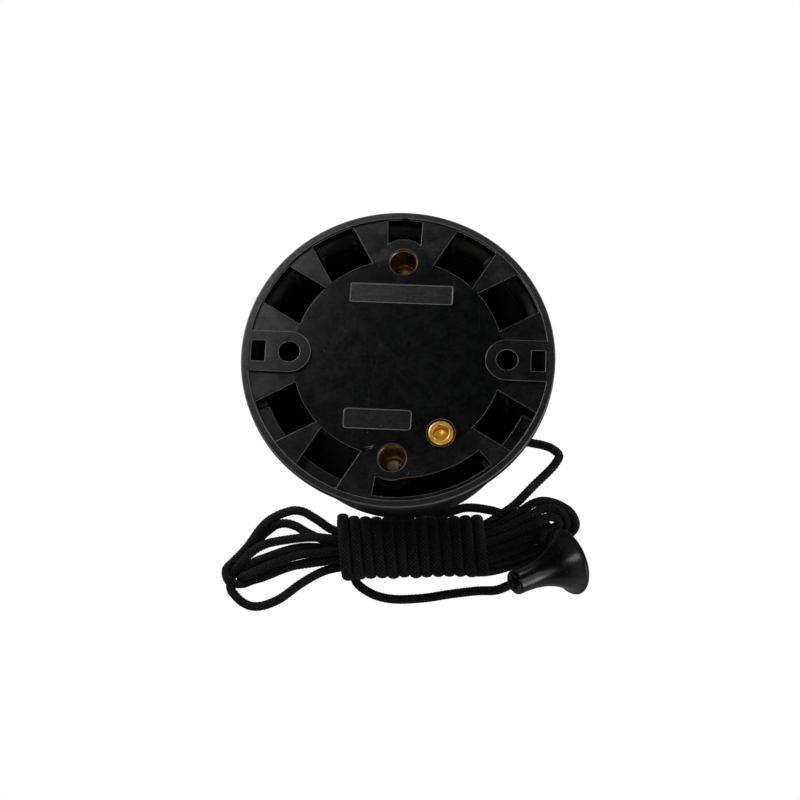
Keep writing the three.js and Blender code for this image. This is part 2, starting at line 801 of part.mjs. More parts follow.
function knobRadius(along) {
  const flare = 2.9;
  return knobNeckRadius + (knobMouthRadius - knobNeckRadius) * (along / knobLength) ** flare;
}

// A hollow bell with its cord bore, turned about its own axis from the neck end.
function buildKnob() {
  const wall = 1.2;
  const bore = cordHoleRadius;
  const neckEnd = 8.4;
  const steps = 7;
  const outside = [];
  const inside = [];
  for (let i = 1; i <= steps; i += 1) {
    const along = 0.9 + (knobLength - 1.5 - 0.9) * i / steps;
    outside.push([knobRadius(along), along]);
  }
  for (let i = steps; i >= 1; i -= 1) {
    const along = neckEnd + 1.6 + (knobLength - 0.6 - neckEnd - 1.6) * i / steps;
    inside.push([knobRadius(along) - wall, along]);
  }
  return turnedRing([
    [bore, 0], [knobNeckRadius - 0.8, 0], [knobNeckRadius, 0.8], ...outside,
    [knobMouthRadius + 0.15, knobLength - 0.6], [knobMouthRadius - 0.2, knobLength],
    [knobMouthRadius - 0.8, knobLength], ...inside, [bore, neckEnd],
  ], 28);
}

// ---- assembly ----

add('base_plate', buildBasePlate(), blackPlastic);
add('cover', buildCover(), blackPlastic);
add('cord_guide', buildCordGuide(), blackPlastic);

add('cover_insert_top', buildInsert(), brass).position.set(0, insertTopY, 0);
add('cover_insert_bottom', buildInsert(), brass).position.set(0, insertBottomY, 0);
add('cover_screw_top', buildCoverScrew(), steel).position.set(0, insertTopY, 0);
add('cover_screw_bottom', buildCoverScrew(), steel).position.set(0, insertBottomY, 0);

add('earth_terminal', buildEarthTerminal(), brass).position.set(earthPlace.x, earthPlace.y, 0);
add('earth_screw', buildClampScrew(1.9, 1.2, -16.4, -14.9, -12.2), steel)
  .position.set(earthPlace.x, earthPlace.y, 0);

add('mechanism_housing', buildHousing(), greyPlastic);
add('mechanism_lid', buildLid(), greyPlastic);
lidScrewPlaces.forEach((place, index) => {
  add(`lid_screw_${index + 1}`, buildLidScrew(place), steel);
});
housingScrewPlaces.forEach(({ x, y }, index) => {
  const low = housingEarTop - 1.6;
  const screw = buildClampScrew(2.2, 1.2, low - 1.8, low - partGap, -3.4);
  add(`housing_screw_${index + 1}`, screw, steel).position.set(x, y, 0);
});

add('ratchet_axle', crossDrum(1.2, -6.4, 10.2, wheelCentre.x, wheelCentre.z, 16), steel);
add('rocker_pin', crossDrum(0.9, -9.6, 10.2, rockerPivot.x, rockerPivot.z, 14), steel);
add('detent_spring', buildDetentSpring(), steel);
add('fixed_contact_l1', fixedContact(-25.9, -9.9, -3.9, pillarPlaces.l1), copper);
add('fixed_contact_l2', fixedContact(-20.7, -12.3, -17.9, pillarPlaces.l2), copper);
add('common_strip', buildCommonStrip(), copper);
add('terminal_block', buildTerminalBlock(), whitePlastic);
for (const [name, x] of Object.entries(pillarPlaces)) {
  add(`terminal_pillar_${name}`, buildPillar(), brass).position.set(x, clampRow, 0);
  const screw = buildClampScrew(2.1, 1.45, -15.6, footLow - partGap, -9.9);
  add(`terminal_screw_${name}`, screw, steel).position.set(x, clampRow, 0);
}

add('pull_slider', buildSlider(), whitePlastic);
add('return_spring', buildReturnSpring(), steel);
add('ratchet_wheel', buildRatchetWheel(), whitePlastic);
add('contact_rocker', buildRocker(), whitePlastic);
add('moving_contact', buildMovingContact(), copper);
add('cord', buildCord(), blackCord);

const knobGroup = new THREE.Group();
knobGroup.position.copy(knobNeckEnd);
knobGroup.quaternion.setFromUnitVectors(new THREE.Vector3(0, 0, 1), knobAxis);
add('knob', buildKnob(), blackPlastic, knobGroup);
pullCordSwitch.add(knobGroup);

export default pullCordSwitch;
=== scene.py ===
import json
import math
import random
from functools import reduce

import bmesh
import bpy
import numpy as np
from mathutils import Matrix, Vector


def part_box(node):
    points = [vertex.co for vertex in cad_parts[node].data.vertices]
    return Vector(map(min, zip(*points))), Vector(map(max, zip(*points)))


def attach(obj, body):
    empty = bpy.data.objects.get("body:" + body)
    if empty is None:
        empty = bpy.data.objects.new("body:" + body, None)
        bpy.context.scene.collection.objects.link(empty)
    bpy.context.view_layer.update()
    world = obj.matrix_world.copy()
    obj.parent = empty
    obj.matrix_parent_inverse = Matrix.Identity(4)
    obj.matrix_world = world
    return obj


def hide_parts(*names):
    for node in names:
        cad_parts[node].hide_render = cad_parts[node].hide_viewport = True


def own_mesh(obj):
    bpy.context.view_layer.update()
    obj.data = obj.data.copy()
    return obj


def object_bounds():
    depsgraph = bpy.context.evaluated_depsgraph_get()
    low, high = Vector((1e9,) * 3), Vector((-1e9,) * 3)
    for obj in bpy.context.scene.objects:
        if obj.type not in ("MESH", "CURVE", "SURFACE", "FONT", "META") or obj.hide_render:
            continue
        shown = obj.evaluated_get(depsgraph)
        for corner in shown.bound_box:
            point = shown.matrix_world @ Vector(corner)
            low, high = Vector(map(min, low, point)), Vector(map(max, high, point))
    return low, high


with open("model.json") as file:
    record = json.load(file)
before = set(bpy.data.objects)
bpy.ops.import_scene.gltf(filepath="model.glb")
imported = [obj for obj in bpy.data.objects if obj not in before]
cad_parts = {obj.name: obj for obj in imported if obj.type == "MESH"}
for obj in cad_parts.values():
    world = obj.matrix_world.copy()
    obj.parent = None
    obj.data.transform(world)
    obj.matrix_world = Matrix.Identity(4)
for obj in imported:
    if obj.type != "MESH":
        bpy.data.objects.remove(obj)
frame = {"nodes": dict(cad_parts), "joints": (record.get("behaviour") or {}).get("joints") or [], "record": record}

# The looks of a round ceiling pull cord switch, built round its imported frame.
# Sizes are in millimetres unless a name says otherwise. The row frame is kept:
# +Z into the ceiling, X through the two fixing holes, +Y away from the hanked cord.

MM = 0.001
FULL_TURN = 2 * math.pi
cad_low, cad_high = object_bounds()


# ---- places taken from the frame ----

def node_box(node):
    """Lowest and highest corner of a CAD node, in millimetres."""
    low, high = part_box(node)
    return low / MM, high / MM


def node_centre(node):
    low, high = node_box(node)
    return (low + high) / 2


def joint_named(name):
    return next(joint for joint in frame["joints"] if joint["name"] == name)


base_low, base_high = node_box("base_plate")
cover_low, cover_high = node_box("cover")
rim_radius = (base_high.x - base_low.x) / 2
rim_top = base_high.z
boss_foot = base_low.z
insert_top = node_centre("cover_insert_top")
insert_bottom = node_centre("cover_insert_bottom")
earth = node_centre("earth_terminal")
pull_travel = joint_named("pull_slide")["range_m"][1] / MM
knob_joint = joint_named("knob_spin")
knob_foot = Vector(knob_joint["pos_m"]) / MM
knob_axis = Vector(knob_joint["axis"]).normalized()

# Driving dimensions of the base and cover, which the frame has no names for.
HOLE_OFFSET = 30.15
DISC_RADIUS = 29.1
RIM_WIDTH = 2.0
PANEL_THICKNESS = 2.6
SIDE_TAPER = 0.22
WALL_THICKNESS = 1.6


# ---- outlines ----

def arc(centre, radius, start_degrees, end_degrees, steps):
    """Points on a circle, from one angle to the other."""
    points = []
    for step in range(steps + 1):
        angle = math.radians(start_degrees + (end_degrees - start_degrees) * step / steps)
        points.append(Vector((centre[0] + radius * math.cos(angle), centre[1] + radius * math.sin(angle))))
    return points


def straight(*places):
    """Corners joined by straight lines."""
    return [Vector(place) for place in places]


def circle(centre, radius, steps=64):
    return arc(centre, radius, 0, 360, steps)[:-1]


def rounded(corners, steps=4):
    """A closed outline from (x, y, radius) corners, each one eased by its own arc."""
    outline = []
    count = len(corners)
    for index, (x, y, radius) in enumerate(corners):
        here = Vector((x, y))
        if radius <= 0:
            outline.append(here)
            continue
        before = (Vector(corners[index - 1][:2]) - here).normalized()
        after = (Vector(corners[(index + 1) % count][:2]) - here).normalized()
        half = before.angle(after) / 2
        centre = here + (before + after).normalized() * (radius / math.sin(half))
        first = here + before * (radius / math.tan(half)) - centre
        last = here + after * (radius / math.tan(half)) - centre
        sweep = first.angle_signed(last)
        for step in range(steps + 1):
            outline.append(centre + Matrix.Rotation(-sweep * step / steps, 2) @ first)
    return outline


def rectangle(width, height, radius, centre=(0, 0)):
    right, top = centre[0] + width / 2, centre[1] + height / 2
    left, bottom = centre[0] - width / 2, centre[1] - height / 2
    corners = ((right, top), (left, top), (left, bottom), (right, bottom))
    return rounded([(x, y, radius) for x, y in corners])


def turned_by(outline, degrees):
    spin = Matrix.Rotation(math.radians(degrees), 2)
    return [spin @ point for point in outline]


def facing(outline, anticlockwise):
    area = sum(a.x * b.y - b.x * a.y for a, b in zip(outline, outline[1:] + outline[:1]))
    return outline if (area > 0) == anticlockwise else outline[::-1]


def moved_left(outline, distance):
    """The outline with every edge moved to its own left, which is into the material."""
    moved = []
    count = len(outline)
    for index, here in enumerate(outline):
        before = (here - outline[index - 1]).normalized()
        after = (outline[(index + 1) % count] - here).normalized()
        side = Vector((-before.y - after.y, before.x + after.x)).normalized()
        lean = max(0.4, side.dot(Vector((-before.y, before.x))))
        moved.append(here + side * (distance / lean))
    return moved


# ---- meshes ----

def object_from(name, mesh):
    piece = bpy.data.objects.new(name, mesh)
    bpy.context.scene.collection.objects.link(piece)
    return piece


def object_from_bmesh(name, bm):
    bmesh.ops.recalc_face_normals(bm, faces=bm.faces)
    mesh = bpy.data.meshes.new(name)
    bm.to_mesh(mesh)
    bm.free()
    return object_from(name, mesh)


def skin(bm, rings):
    """Faces between each ring of vertices and the next."""
    for lower, upper in zip(rings, rings[1:]):
        for i in range(len(lower)):
            j = (i + 1) % len(lower)
            bm.faces.new((lower[i], lower[j], upper[j], upper[i]))


def capped(name, bm, rings):
    """A closed piece from a row of rings, with a cap on each end."""
    skin(bm, rings)
    bm.faces.new(rings[0][::-1])
    bm.faces.new(rings[-1])
    return object_from_bmesh(name, bm)


def layered(outlines, levels):
    """A closed solid from one outer outline and its holes, lofted through (inset, height) levels."""
    loops = [facing(outline, index == 0) for index, outline in enumerate(outlines)]
    bm = bmesh.new()
    caps = {0: [], len(levels) - 1: []}
    for loop in loops:
        rings = []
        for inset, height in levels:
            points = moved_left(loop, inset) if inset else loop
            rings.append([bm.verts.new((p.x * MM, p.y * MM, height * MM)) for p in points])
        skin(bm, rings)
        for level in caps:
            ring = rings[level]
            caps[level] += [bm.edges.get(pair) for pair in zip(ring, ring[1:] + ring[:1])]
    for edges in caps.values():
        bmesh.ops.triangle_fill(bm, use_beauty=True, edges=edges)
    return object_from_bmesh("layer", bm)


def plate(outlines, low, high, edge=0.25, steps=3):
    """A flat plate with holes, whose upper and lower edges are rounded."""
    angles = [math.pi / 2 * step / steps for step in range(steps + 1)]
    levels = [(edge * (1 - math.sin(a)), low + edge * (1 - math.cos(a))) for a in angles]
    levels += [(edge * (1 - math.cos(a)), high - edge * (1 - math.sin(a))) for a in angles]
    return layered(outlines, levels)


def lathe(profile, segments=96, centre=(0, 0), name="turned"):
    """A closed outline of (radius, height) points turned about the vertical through centre."""
    bm = bmesh.new()
    rings = []
    for step in range(segments):
        angle = FULL_TURN * step / segments
        across, along = math.cos(angle), math.sin(angle)
        rings.append([
            bm.verts.new(((centre[0] + p[0] * across) * MM, (centre[1] + p[0] * along) * MM, p[1] * MM))
            for p in profile
        ])
    skin(bm, rings + rings[:1])
    bmesh.ops.remove_doubles(bm, verts=bm.verts, dist=1e-7)
    bmesh.ops.dissolve_degenerate(bm, edges=bm.edges, dist=1e-7)
    return object_from_bmesh(name, bm)


def drum(radius, low, high, centre=(0, 0), segments=48):
    return lathe([(0, low), (radius, low), (radius, high), (0, high)], segments, centre)


def merged(name, body, joined=(), cut=()):
    """One closed solid: body with the joined solids added and the cutters taken away."""
    tools = [(tool, "UNION") for tool in joined] + [(tool, "DIFFERENCE") for tool in cut]
    for tool, operation in tools:
        step = body.modifiers.new(operation, "BOOLEAN")
        step.operation = operation
        step.solver = "MANIFOLD"
        step.object = tool
    bpy.context.view_layer.update()
    whole = bpy.data.meshes.new_from_object(body.evaluated_get(bpy.context.evaluated_depsgraph_get()))
    for used in [body] + [tool for tool, _ in tools]:
        bpy.data.objects.remove(used)
    whole.name = name
    return object_from(name, whole)


def smooth(piece, degrees=35):
    """Smooth shading with edges kept where the surface turns sharply."""
    bm = bmesh.new()
    bm.from_mesh(piece.data)
    for face in bm.faces:
        face.smooth = True
    for edge in bm.edges:
        edge.smooth = len(edge.link_faces) != 2 or edge.calc_face_angle(0) < math.radians(degrees)
    bm.to_mesh(piece.data)
    bm.free()
    weighted = piece.modifiers.new("even_normals", "WEIGHTED_NORMAL")
    weighted.keep_sharp = True
    return piece


def fitted(piece, body, material, stands_for=()):
    """Gives a finished piece its material, its body and the CAD nodes it stands for."""
    piece.data.materials.clear()
    piece.data.materials.append(material)
    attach(piece, body)
    if stands_for:
        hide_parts(*stands_for)
    return piece


# ---- materials ----

class Nodes:
    """Short calls that add and join the nodes of a material or a world."""

    def __init__(self, tree):
        self.tree = tree

    def node(self, kind, **settings):
        made = self.tree.nodes.new(kind)
        for name, value in settings.items():
            setattr(made, name, value)
        return made

    def feed(self, socket, value):
        if isinstance(value, bpy.types.NodeSocket):
            self.tree.links.new(value, socket)
        else:
            socket.default_value = value

    def axes(self, vector):
        """The x, y and z sockets of a vector socket."""
        made = self.node("ShaderNodeSeparateXYZ")
        self.feed(made.inputs[0], vector)
        return tuple(made.outputs)

    def ramp(self, value, low, high, out_low=0.0, out_high=1.0, ease="SMOOTHSTEP"):
        made = self.node("ShaderNodeMapRange", interpolation_type=ease)
        self.feed(made.inputs["Value"], value)
        limits = {"From Min": low, "From Max": high, "To Min": out_low, "To Max": out_high}
        for name, number in limits.items():
            self.feed(made.inputs[name], number)
        return made.outputs[0]

    def choice(self, share, first, second):
        """The first shader where share is 0 and the second where it is 1."""
        made = self.node("ShaderNodeMixShader")
        for socket, value in zip(made.inputs, (share, first, second)):
            self.feed(socket, value)
        return made.outputs[0]


class Finish(Nodes):
    """A material with short calls for the nodes used here. Its coordinates are in millimetres."""

    def __init__(self, name, colour, roughness, metallic=0.0):
        self.material = bpy.data.materials.new(name)
        self.material.use_nodes = True
        super().__init__(self.material.node_tree)
        self.shader = self.tree.nodes["Principled BSDF"]
        self.set("Base Color", (*colour, 1))
        self.set("Roughness", roughness)
        self.set("Metallic", metallic)
        scale = self.node("ShaderNodeVectorMath", operation="SCALE")
        scale.inputs["Scale"].default_value = 1 / MM
        self.feed(scale.inputs[0], self.node("ShaderNodeTexCoord").outputs["Object"])
        self.place = scale.outputs[0]
        self.relief = None

    def set(self, name, value):
        self.feed(self.shader.inputs[name], value)

    def math(self, operation, first, second=0.0):
        made = self.node("ShaderNodeMath", operation=operation)
        self.feed(made.inputs[0], first)
        self.feed(made.inputs[1], second)
        return made.outputs[0]

    def chain(self, operation, values):
        return reduce(lambda first, second: self.math(operation, first, second), values)

    def total(self, *values):
        return self.chain("ADD", values)

    def less(self, first, second):
        return self.math("SUBTRACT", first, second)

    def times(self, *values):
        return self.chain("MULTIPLY", values)

    def most(self, *values):
        return self.chain("MAXIMUM", values)

    def spread(self, stretch=(1, 1, 1), turn=(0, 0, 0)):
        made = self.node("ShaderNodeMapping")
        made.inputs["Scale"].default_value = stretch
        made.inputs["Rotation"].default_value = turn
        self.feed(made.inputs["Vector"], self.place)
        return made.outputs[0]

    def noise(self, scale, detail=3.0, stretch=(1, 1, 1), turn=(0, 0, 0), rough=0.55):
        made = self.node("ShaderNodeTexNoise")
        made.inputs["Scale"].default_value = scale
        made.inputs["Detail"].default_value = detail
        made.inputs["Roughness"].default_value = rough
        self.feed(made.inputs["Vector"], self.spread(stretch, turn))
        return made.outputs[0]

    def blend(self, share, first, second):
        made = self.node("ShaderNodeMix", data_type="RGBA")
        self.feed(made.inputs[0], share)
        for socket, value in ((made.inputs[6], first), (made.inputs[7], second)):
            self.feed(socket, value if isinstance(value, bpy.types.NodeSocket) else (*value, 1))
        return made.outputs[2]

    def bump(self, height, depth, strength=1.0):
        """Adds relief of the given depth in millimetres on top of what is there."""
        made = self.node("ShaderNodeBump")
        made.inputs["Strength"].default_value = strength
        made.inputs["Distance"].default_value = depth * MM
        self.feed(made.inputs["Height"], height)
        if self.relief is not None:
            self.feed(made.inputs["Normal"], self.relief)
        self.relief = made.outputs[0]
        self.set("Normal", self.relief)

    def facing_up(self):
        """The upward share of the surface's direction: 1 on a flat top, 0 on an upright side."""
        return self.axes(self.node("ShaderNodeTexCoord").outputs["Normal"])[2]

    def rounded_edge(self, height, lowest):
        """Where the surface above a height turns over an edge: the eased corners only."""
        upward = self.facing_up()
        above = self.ramp(height, lowest - 0.2, lowest)
        return self.times(self.ramp(upward, 0.97, 0.8), self.ramp(upward, 0.15, 0.4), above)

    def scratches(self, spacing, width, turn):
        """Thin lines: where a stretched noise passes its middle value."""
        wander = self.noise(1 / spacing, 2.0, (1, 0.035, 1), (0, 0, turn), 0.4)
        line = self.math("LESS_THAN", self.math("ABSOLUTE", self.less(wander, 0.5)), width)
        patch = self.ramp(self.noise(0.11, 1.0, turn=(0, 0, turn * 2)), 0.48, 0.62)
        return self.times(line, patch)

    def scratched(self, *families):
        """Scratches of several families, each with its spacing, width and turn."""
        return self.most(*[self.scratches(*family) for family in families])

    def specks(self, spacing, radius, keep):
        """Small round dust specks, one in some of the cells of a grid."""
        cells = self.node("ShaderNodeTexVoronoi")
        cells.inputs["Scale"].default_value = 1 / spacing
        self.feed(cells.inputs["Vector"], self.place)
        tint = self.node("ShaderNodeSeparateColor")
        self.feed(tint.inputs[0], cells.outputs["Color"])
        near = self.math("LESS_THAN", cells.outputs["Distance"], radius / spacing)
        return self.times(near, self.math("GREATER_THAN", tint.outputs[0], 1 - keep))


def plastic(name, dark, light, roughness, gloss=0.5, scratch=0.5, grain=0.012):
    """Moulded plastic: mottled colour, uneven gloss, a fine grain, hairline scratches and dust."""
    finish = Finish(name, dark, roughness)
    mottle = finish.ramp(finish.noise(0.16, 5.0), 0.35, 0.65)
    colour = finish.blend(mottle, dark, light)
    marks = finish.times(finish.scratched((2.6, 0.0035, 0.5), (3.4, 0.003, 2.0)), scratch)
    colour = finish.blend(marks, colour, [min(1.0, c * 6 + 0.05) for c in light])
    dust = finish.specks(2.4, 0.09, 0.12)
    finish.set("Base Color", finish.blend(dust, colour, (0.5, 0.49, 0.46)))
    wear = finish.ramp(finish.noise(0.5, 6.0), 0.3, 0.7, roughness - 0.07, roughness + 0.08)
    finish.set("Roughness", finish.total(wear, finish.times(dust, 0.3)))
    finish.set("Specular IOR Level", gloss)
    finish.bump(finish.noise(9.0, 2.0), grain)
    finish.bump(marks, 0.01)
    return finish


def rubbed_and_lit_share(finish, radius, flat):
    """How pale the base is: ribs, rim, pads and label trays paler from rubbing on their flat tops and less below
    the panel's top, with painted light falling off from the far left to the near right and painted shade darkening
    the upright sides.
    """
    across, along, height = finish.axes(finish.place)
    patch = finish.ramp(finish.noise(0.13, 4.0, rough=0.6), 0.42, 0.62, 0.12, 0.5)
    patch = finish.total(patch, finish.ramp(radius, 32, 41, 0.0, 0.14))
    ribs = finish.times(finish.ramp(radius, DISC_RADIUS - 0.2, DISC_RADIUS + 0.2), patch)
    rim_edge = rim_radius - RIM_WIDTH
    # Painted light: the rim a little paler towards the right.
    rim_light_gradient = finish.ramp(across, -38, 34, 0.72, 1.0)
    rim = finish.times(finish.ramp(radius, rim_edge - 0.4, rim_edge + 0.2), rim_light_gradient)
    pads = finish.ramp(height, 0.25, 0.5, 0.0, 0.3)
    tray = finish.times(finish.ramp(height, -0.2, -0.26), finish.ramp(height, -0.42, -0.36, 0.0, 0.62))
    # Painted light and shade: paler towards the far side and the left, darker towards the near right, and darker
    # on upright sides.
    far_side = finish.less(along, finish.times(across, 0.33))
    return finish.times(
        finish.most(ribs, rim, pads, tray),
        finish.ramp(far_side, -25, 42, 0.68, 1.4),
        finish.ramp(flat, 0.0, 1.0, 0.1, 1.0),
        finish.ramp(height, -2.4, -0.4, 0.6, 1.0),
    )


def lit_wall_share(finish, radius, height):
    """The band of the wall's inside that catches light through the windows."""
    upright_reach = finish.less(radius, finish.times(height, SIDE_TAPER))
    wall_reach = rim_radius - SIDE_TAPER * rim_top - WALL_THICKNESS / 2
    return finish.times(
        finish.ramp(upright_reach, wall_reach + 0.2, wall_reach),
        finish.ramp(radius, 33, 36),
        finish.ramp(height, -3.2, -4.6),
        finish.ramp(height, -10.5, -6.5),
    )


def base_plastic():
    """The base: a dark smooth middle, ribs and pads a little paler, a rim paler from rubbing, painted light
    falling off across the face and painted highlights along the edges.
    """
    finish = Finish("base_black_plastic", (0.01, 0.01, 0.01), 0.4)
    across, along, height = finish.axes(finish.place)
    radius = finish.math("SQRT", finish.total(finish.times(across, across), finish.times(along, along)))
    flat = finish.ramp(finish.facing_up(), 0.2, 0.8)
    rubbed_and_lit = rubbed_and_lit_share(finish, radius, flat)
    cloud = finish.ramp(finish.noise(0.2, 3.0, rough=0.6), 0.34, 0.7)
    smear = finish.ramp(finish.noise(0.8, 3.0), 0.4, 0.7, 0.0, 0.4)
    fine = finish.ramp(finish.noise(1.6, 5.0, rough=0.72), 0.34, 0.7)
    brushed = finish.ramp(finish.noise(1.1, 3.0, (0.25, 2.2, 1), (0, 0, 0.5)), 0.3, 0.7)
    grain = finish.total(finish.times(fine, 0.6), finish.times(brushed, 0.4))
    inner = finish.blend(cloud, (0.0018, 0.002, 0.0024), (0.0046, 0.005, 0.0058))
    inner = finish.blend(smear, inner, (0.009, 0.0096, 0.0108))
    outer = finish.blend(grain, (0.012, 0.0118, 0.0117), (0.066, 0.065, 0.0642))
    colour = finish.blend(rubbed_and_lit, inner, outer)
    lit_wall = finish.blend(cloud, (0.045, 0.043, 0.04), (0.1, 0.097, 0.09))
    colour = finish.blend(lit_wall_share(finish, radius, height), colour, lit_wall)
    lines = finish.scratched((5.2, 0.0022, 0.75), (7.0, 0.0018, 2.3))
    colour = finish.blend(finish.times(lines, 0.16), colour, (0.07, 0.07, 0.072))
    # Painted highlight: pale thin lines where the surfaces turn over their eased edges.
    edges = finish.times(finish.rounded_edge(height, -PANEL_THICKNESS), 0.9)
    colour = finish.blend(edges, colour, (0.26, 0.259, 0.257))
    dust = finish.most(finish.specks(3.4, 0.11, 0.07), finish.specks(1.5, 0.05, 0.04))
    finish.set("Base Color", finish.blend(dust, colour, (0.3, 0.3, 0.29)))
    mottle = finish.ramp(finish.noise(0.9, 2.0), 0.3, 0.7)
    smoothness = finish.ramp(finish.total(cloud, mottle), 0.2, 1.8, 0.28, 0.345)
    finish.set("Roughness", finish.total(smoothness, finish.times(rubbed_and_lit, 0.14)))
    finish.set("Specular IOR Level", finish.ramp(flat, 0.0, 1.0, 0.06, 0.4))
    finish.bump(finish.noise(3.5, 1.0), 0.006)
    finish.bump(finish.noise(0.35, 2.0), 0.03)
    finish.bump(finish.times(grain, rubbed_and_lit), 0.03)
    return finish


def cord_fibre():
    """Black braided polyester: fine fibres along each strand, a soft sheen and specks of lint."""
    finish = Finish("black_cord_fibre", (0.006, 0.006, 0.0065), 0.62)
    weave = finish.node("ShaderNodeUVMap", uv_map="braid")
    around, length, _ = finish.axes(weave.outputs[0])
    left = finish.math("FRACT", finish.total(around, length))
    right = finish.math("FRACT", finish.less(around, length))
    hair = finish.total(*[finish.math("SINE", finish.times(part, FULL_TURN * 3)) for part in (left, right)])
    crest = finish.times(*[finish.math("SINE", finish.times(part, math.pi)) for part in (left, right)])
    fuzz = finish.noise(11.0, 4.0)
    tone = finish.ramp(finish.total(finish.times(hair, 0.12), fuzz), 0.2, 0.85)
    patches = finish.ramp(finish.noise(3.2, 4.0, rough=0.7), 0.4, 0.64)
    # Painted highlight and wear: the strand tops paler in patches.
    crown_wear_and_highlight = finish.times(finish.ramp(crest, 0.35, 0.95), patches)
    colour = finish.blend(tone, (0.0014, 0.0015, 0.0018), (0.006, 0.0063, 0.0072))
    colour = finish.blend(crown_wear_and_highlight, colour, (0.075, 0.08, 0.092))
    lint = finish.specks(1.7, 0.1, 0.02)
    finish.set("Base Color", finish.blend(lint, colour, (0.45, 0.45, 0.45)))
    finish.set("Specular IOR Level", 0.2)
    finish.set("Sheen Weight", 0.06)
    finish.set("Sheen Roughness", 0.45)
    finish.set("Sheen Tint", (0.75, 0.8, 0.9, 1))
    finish.bump(hair, 0.02, 0.7)
    finish.bump(fuzz, 0.06, 0.8)
    return finish


def metal(name, dark, light, roughness, rings=0.0, spots=0.3, wall=1.0):
    """Turned metal: tool rings, cloudy tarnish, small spots, and painted shade darkening upright walls, the less
    the larger wall is.
    """
    finish = Finish(name, light, roughness, 1.0)
    cloud = finish.ramp(finish.noise(0.9, 5.0), 0.3, 0.72)
    stain = finish.times(finish.ramp(finish.noise(3.4, 4.0), 0.6, 0.74), spots)
    colour = finish.blend(cloud, dark, light)
    # Painted shade: upright faces darkened.
    upright = finish.ramp(finish.facing_up(), 0.5, 0.1, 0.0, 1 - wall)
    colour = finish.blend(upright, colour, [c * c * 0.2 for c in dark])
    finish.set("Base Color", finish.blend(stain, colour, [c * 0.35 for c in dark]))
    finish.set("Roughness", finish.ramp(finish.noise(1.8, 4.0), 0.3, 0.7, roughness * 0.8, roughness * 1.3))
    if rings:
        finish.bump(finish.noise(1.0, 2.0, (0.05, 0.05, 7.0)), rings)
    finish.bump(finish.noise(14.0, 2.0), 0.006)
    return finish


def knob_plastic():
    """Polished black plastic with a faint orange-peel, handling marks and a painted grey reflection round the
    mouth.
    """
    finish = Finish("knob_gloss_plastic", (0.006, 0.006, 0.007), 0.16)
    rub = finish.ramp(finish.noise(0.6, 5.0), 0.35, 0.7, 0.22, 0.3)
    marks = finish.scratched((2.0, 0.003, 0.9), (2.8, 0.003, 2.3))
    finish.set("Roughness", finish.total(rub, finish.times(marks, 0.2)))
    colour = finish.blend(finish.noise(0.3, 3.0), (0.003, 0.003, 0.0033), (0.008, 0.008, 0.0085))
    toward_mouth = finish.node("ShaderNodeVectorMath", operation="DOT_PRODUCT")
    finish.feed(toward_mouth.inputs[0], finish.place)
    toward_mouth.inputs[1].default_value = knob_axis
    reach = finish.less(toward_mouth.outputs["Value"], knob_axis.dot(knob_foot))
    # Painted reflection: patches of pale grey towards the mouth, standing in for the surroundings mirrored in the
    # flare.
    patches = finish.ramp(finish.noise(0.7, 4.0), 0.3, 0.6, 0.6, 1.0)
    brim_reflection = finish.times(finish.ramp(reach, 13.5, 18.5), patches)
    colour = finish.blend(brim_reflection, colour, (0.055, 0.056, 0.057))
    dust = finish.specks(2.6, 0.07, 0.1)
    finish.set("Base Color", finish.blend(dust, colour, (0.4, 0.4, 0.4)))
    finish.set("Coat Weight", 0.2)
    finish.set("Coat Roughness", 0.2)
    finish.bump(finish.noise(0.8, 2.0), 0.015)
    finish.bump(marks, 0.008)
    return finish


BASE_PLASTIC = base_plastic().material
COVER_DARK = (0.0065, 0.0065, 0.007)
COVER_LIGHT = (0.012, 0.012, 0.0125)
COVER_PLASTIC = plastic("cover_black_plastic", COVER_DARK, COVER_LIGHT, 0.36, 0.25, scratch=0.15).material
KNOB_PLASTIC = knob_plastic().material
GREY_PLASTIC = plastic("grey_nylon", (0.2, 0.205, 0.21), (0.26, 0.265, 0.27), 0.55, grain=0.02).material
WHITE_PLASTIC = plastic("natural_nylon", (0.62, 0.6, 0.55), (0.72, 0.7, 0.66), 0.45, grain=0.015).material
CORD_FIBRE = cord_fibre().material
BRASS = metal("turned_brass", (0.66, 0.39, 0.07), (0.92, 0.62, 0.16), 0.36, 0.003, 0.1, 0.2).material
EARTH_BRASS = metal("earth_brass", (0.95, 0.52, 0.08), (1.0, 0.64, 0.15), 0.36, 0.003, 0.05, 0.35)
# Painted light: the brass glows a little, most on its flat tops.
EARTH_BRASS.set("Emission Color", (1.0, 0.48, 0.07, 1))
EARTH_BRASS.set("Emission Strength", EARTH_BRASS.ramp(EARTH_BRASS.facing_up(), 0.7, 0.98, 0.02, 0.22))
STEEL = metal("zinc_steel", (0.6, 0.6, 0.59), (0.85, 0.85, 0.84), 0.42, 0.006).material
COPPER = metal("copper_strip", (0.5, 0.2, 0.1), (0.78, 0.4, 0.24), 0.3).material


# ---- base plate ----

RIM_BAND = 3.0
BASE_DEPTH = 11.0
WINDOW_WIDTH = 12.9
WINDOW_OUTER = 41.3
BOSS_RADIUS = 7.0
LOWER_BOSS_RADIUS = 6.4
FIXING_HOLE = 2.95
EARTH_HOLE = 3.9
WINDOW_DEGREES = (30, 60, 120, 150, -150, -120, -30)
RIB_DEGREES = (22, 53, 69, 112, 127, 141, 159, -22.5, -141, -159)
LEDGE_DEGREES = ((-156.3, -109), (-50, -23.4))
SLOT_DEGREES = (-97, -48)
SLOT_RADII = (35.1, 40.3)
PAD_HALF_WIDTH = 6.0
KNOCK_OUT = (3.85, 6.0)
KNOCK_OUT_OFFSET = 38.78
LABELS = ((28.3, 5.2, 0.3, (0, 18.8)), (18.2, 5.3, 0.8, (-4.65, -18.4)))


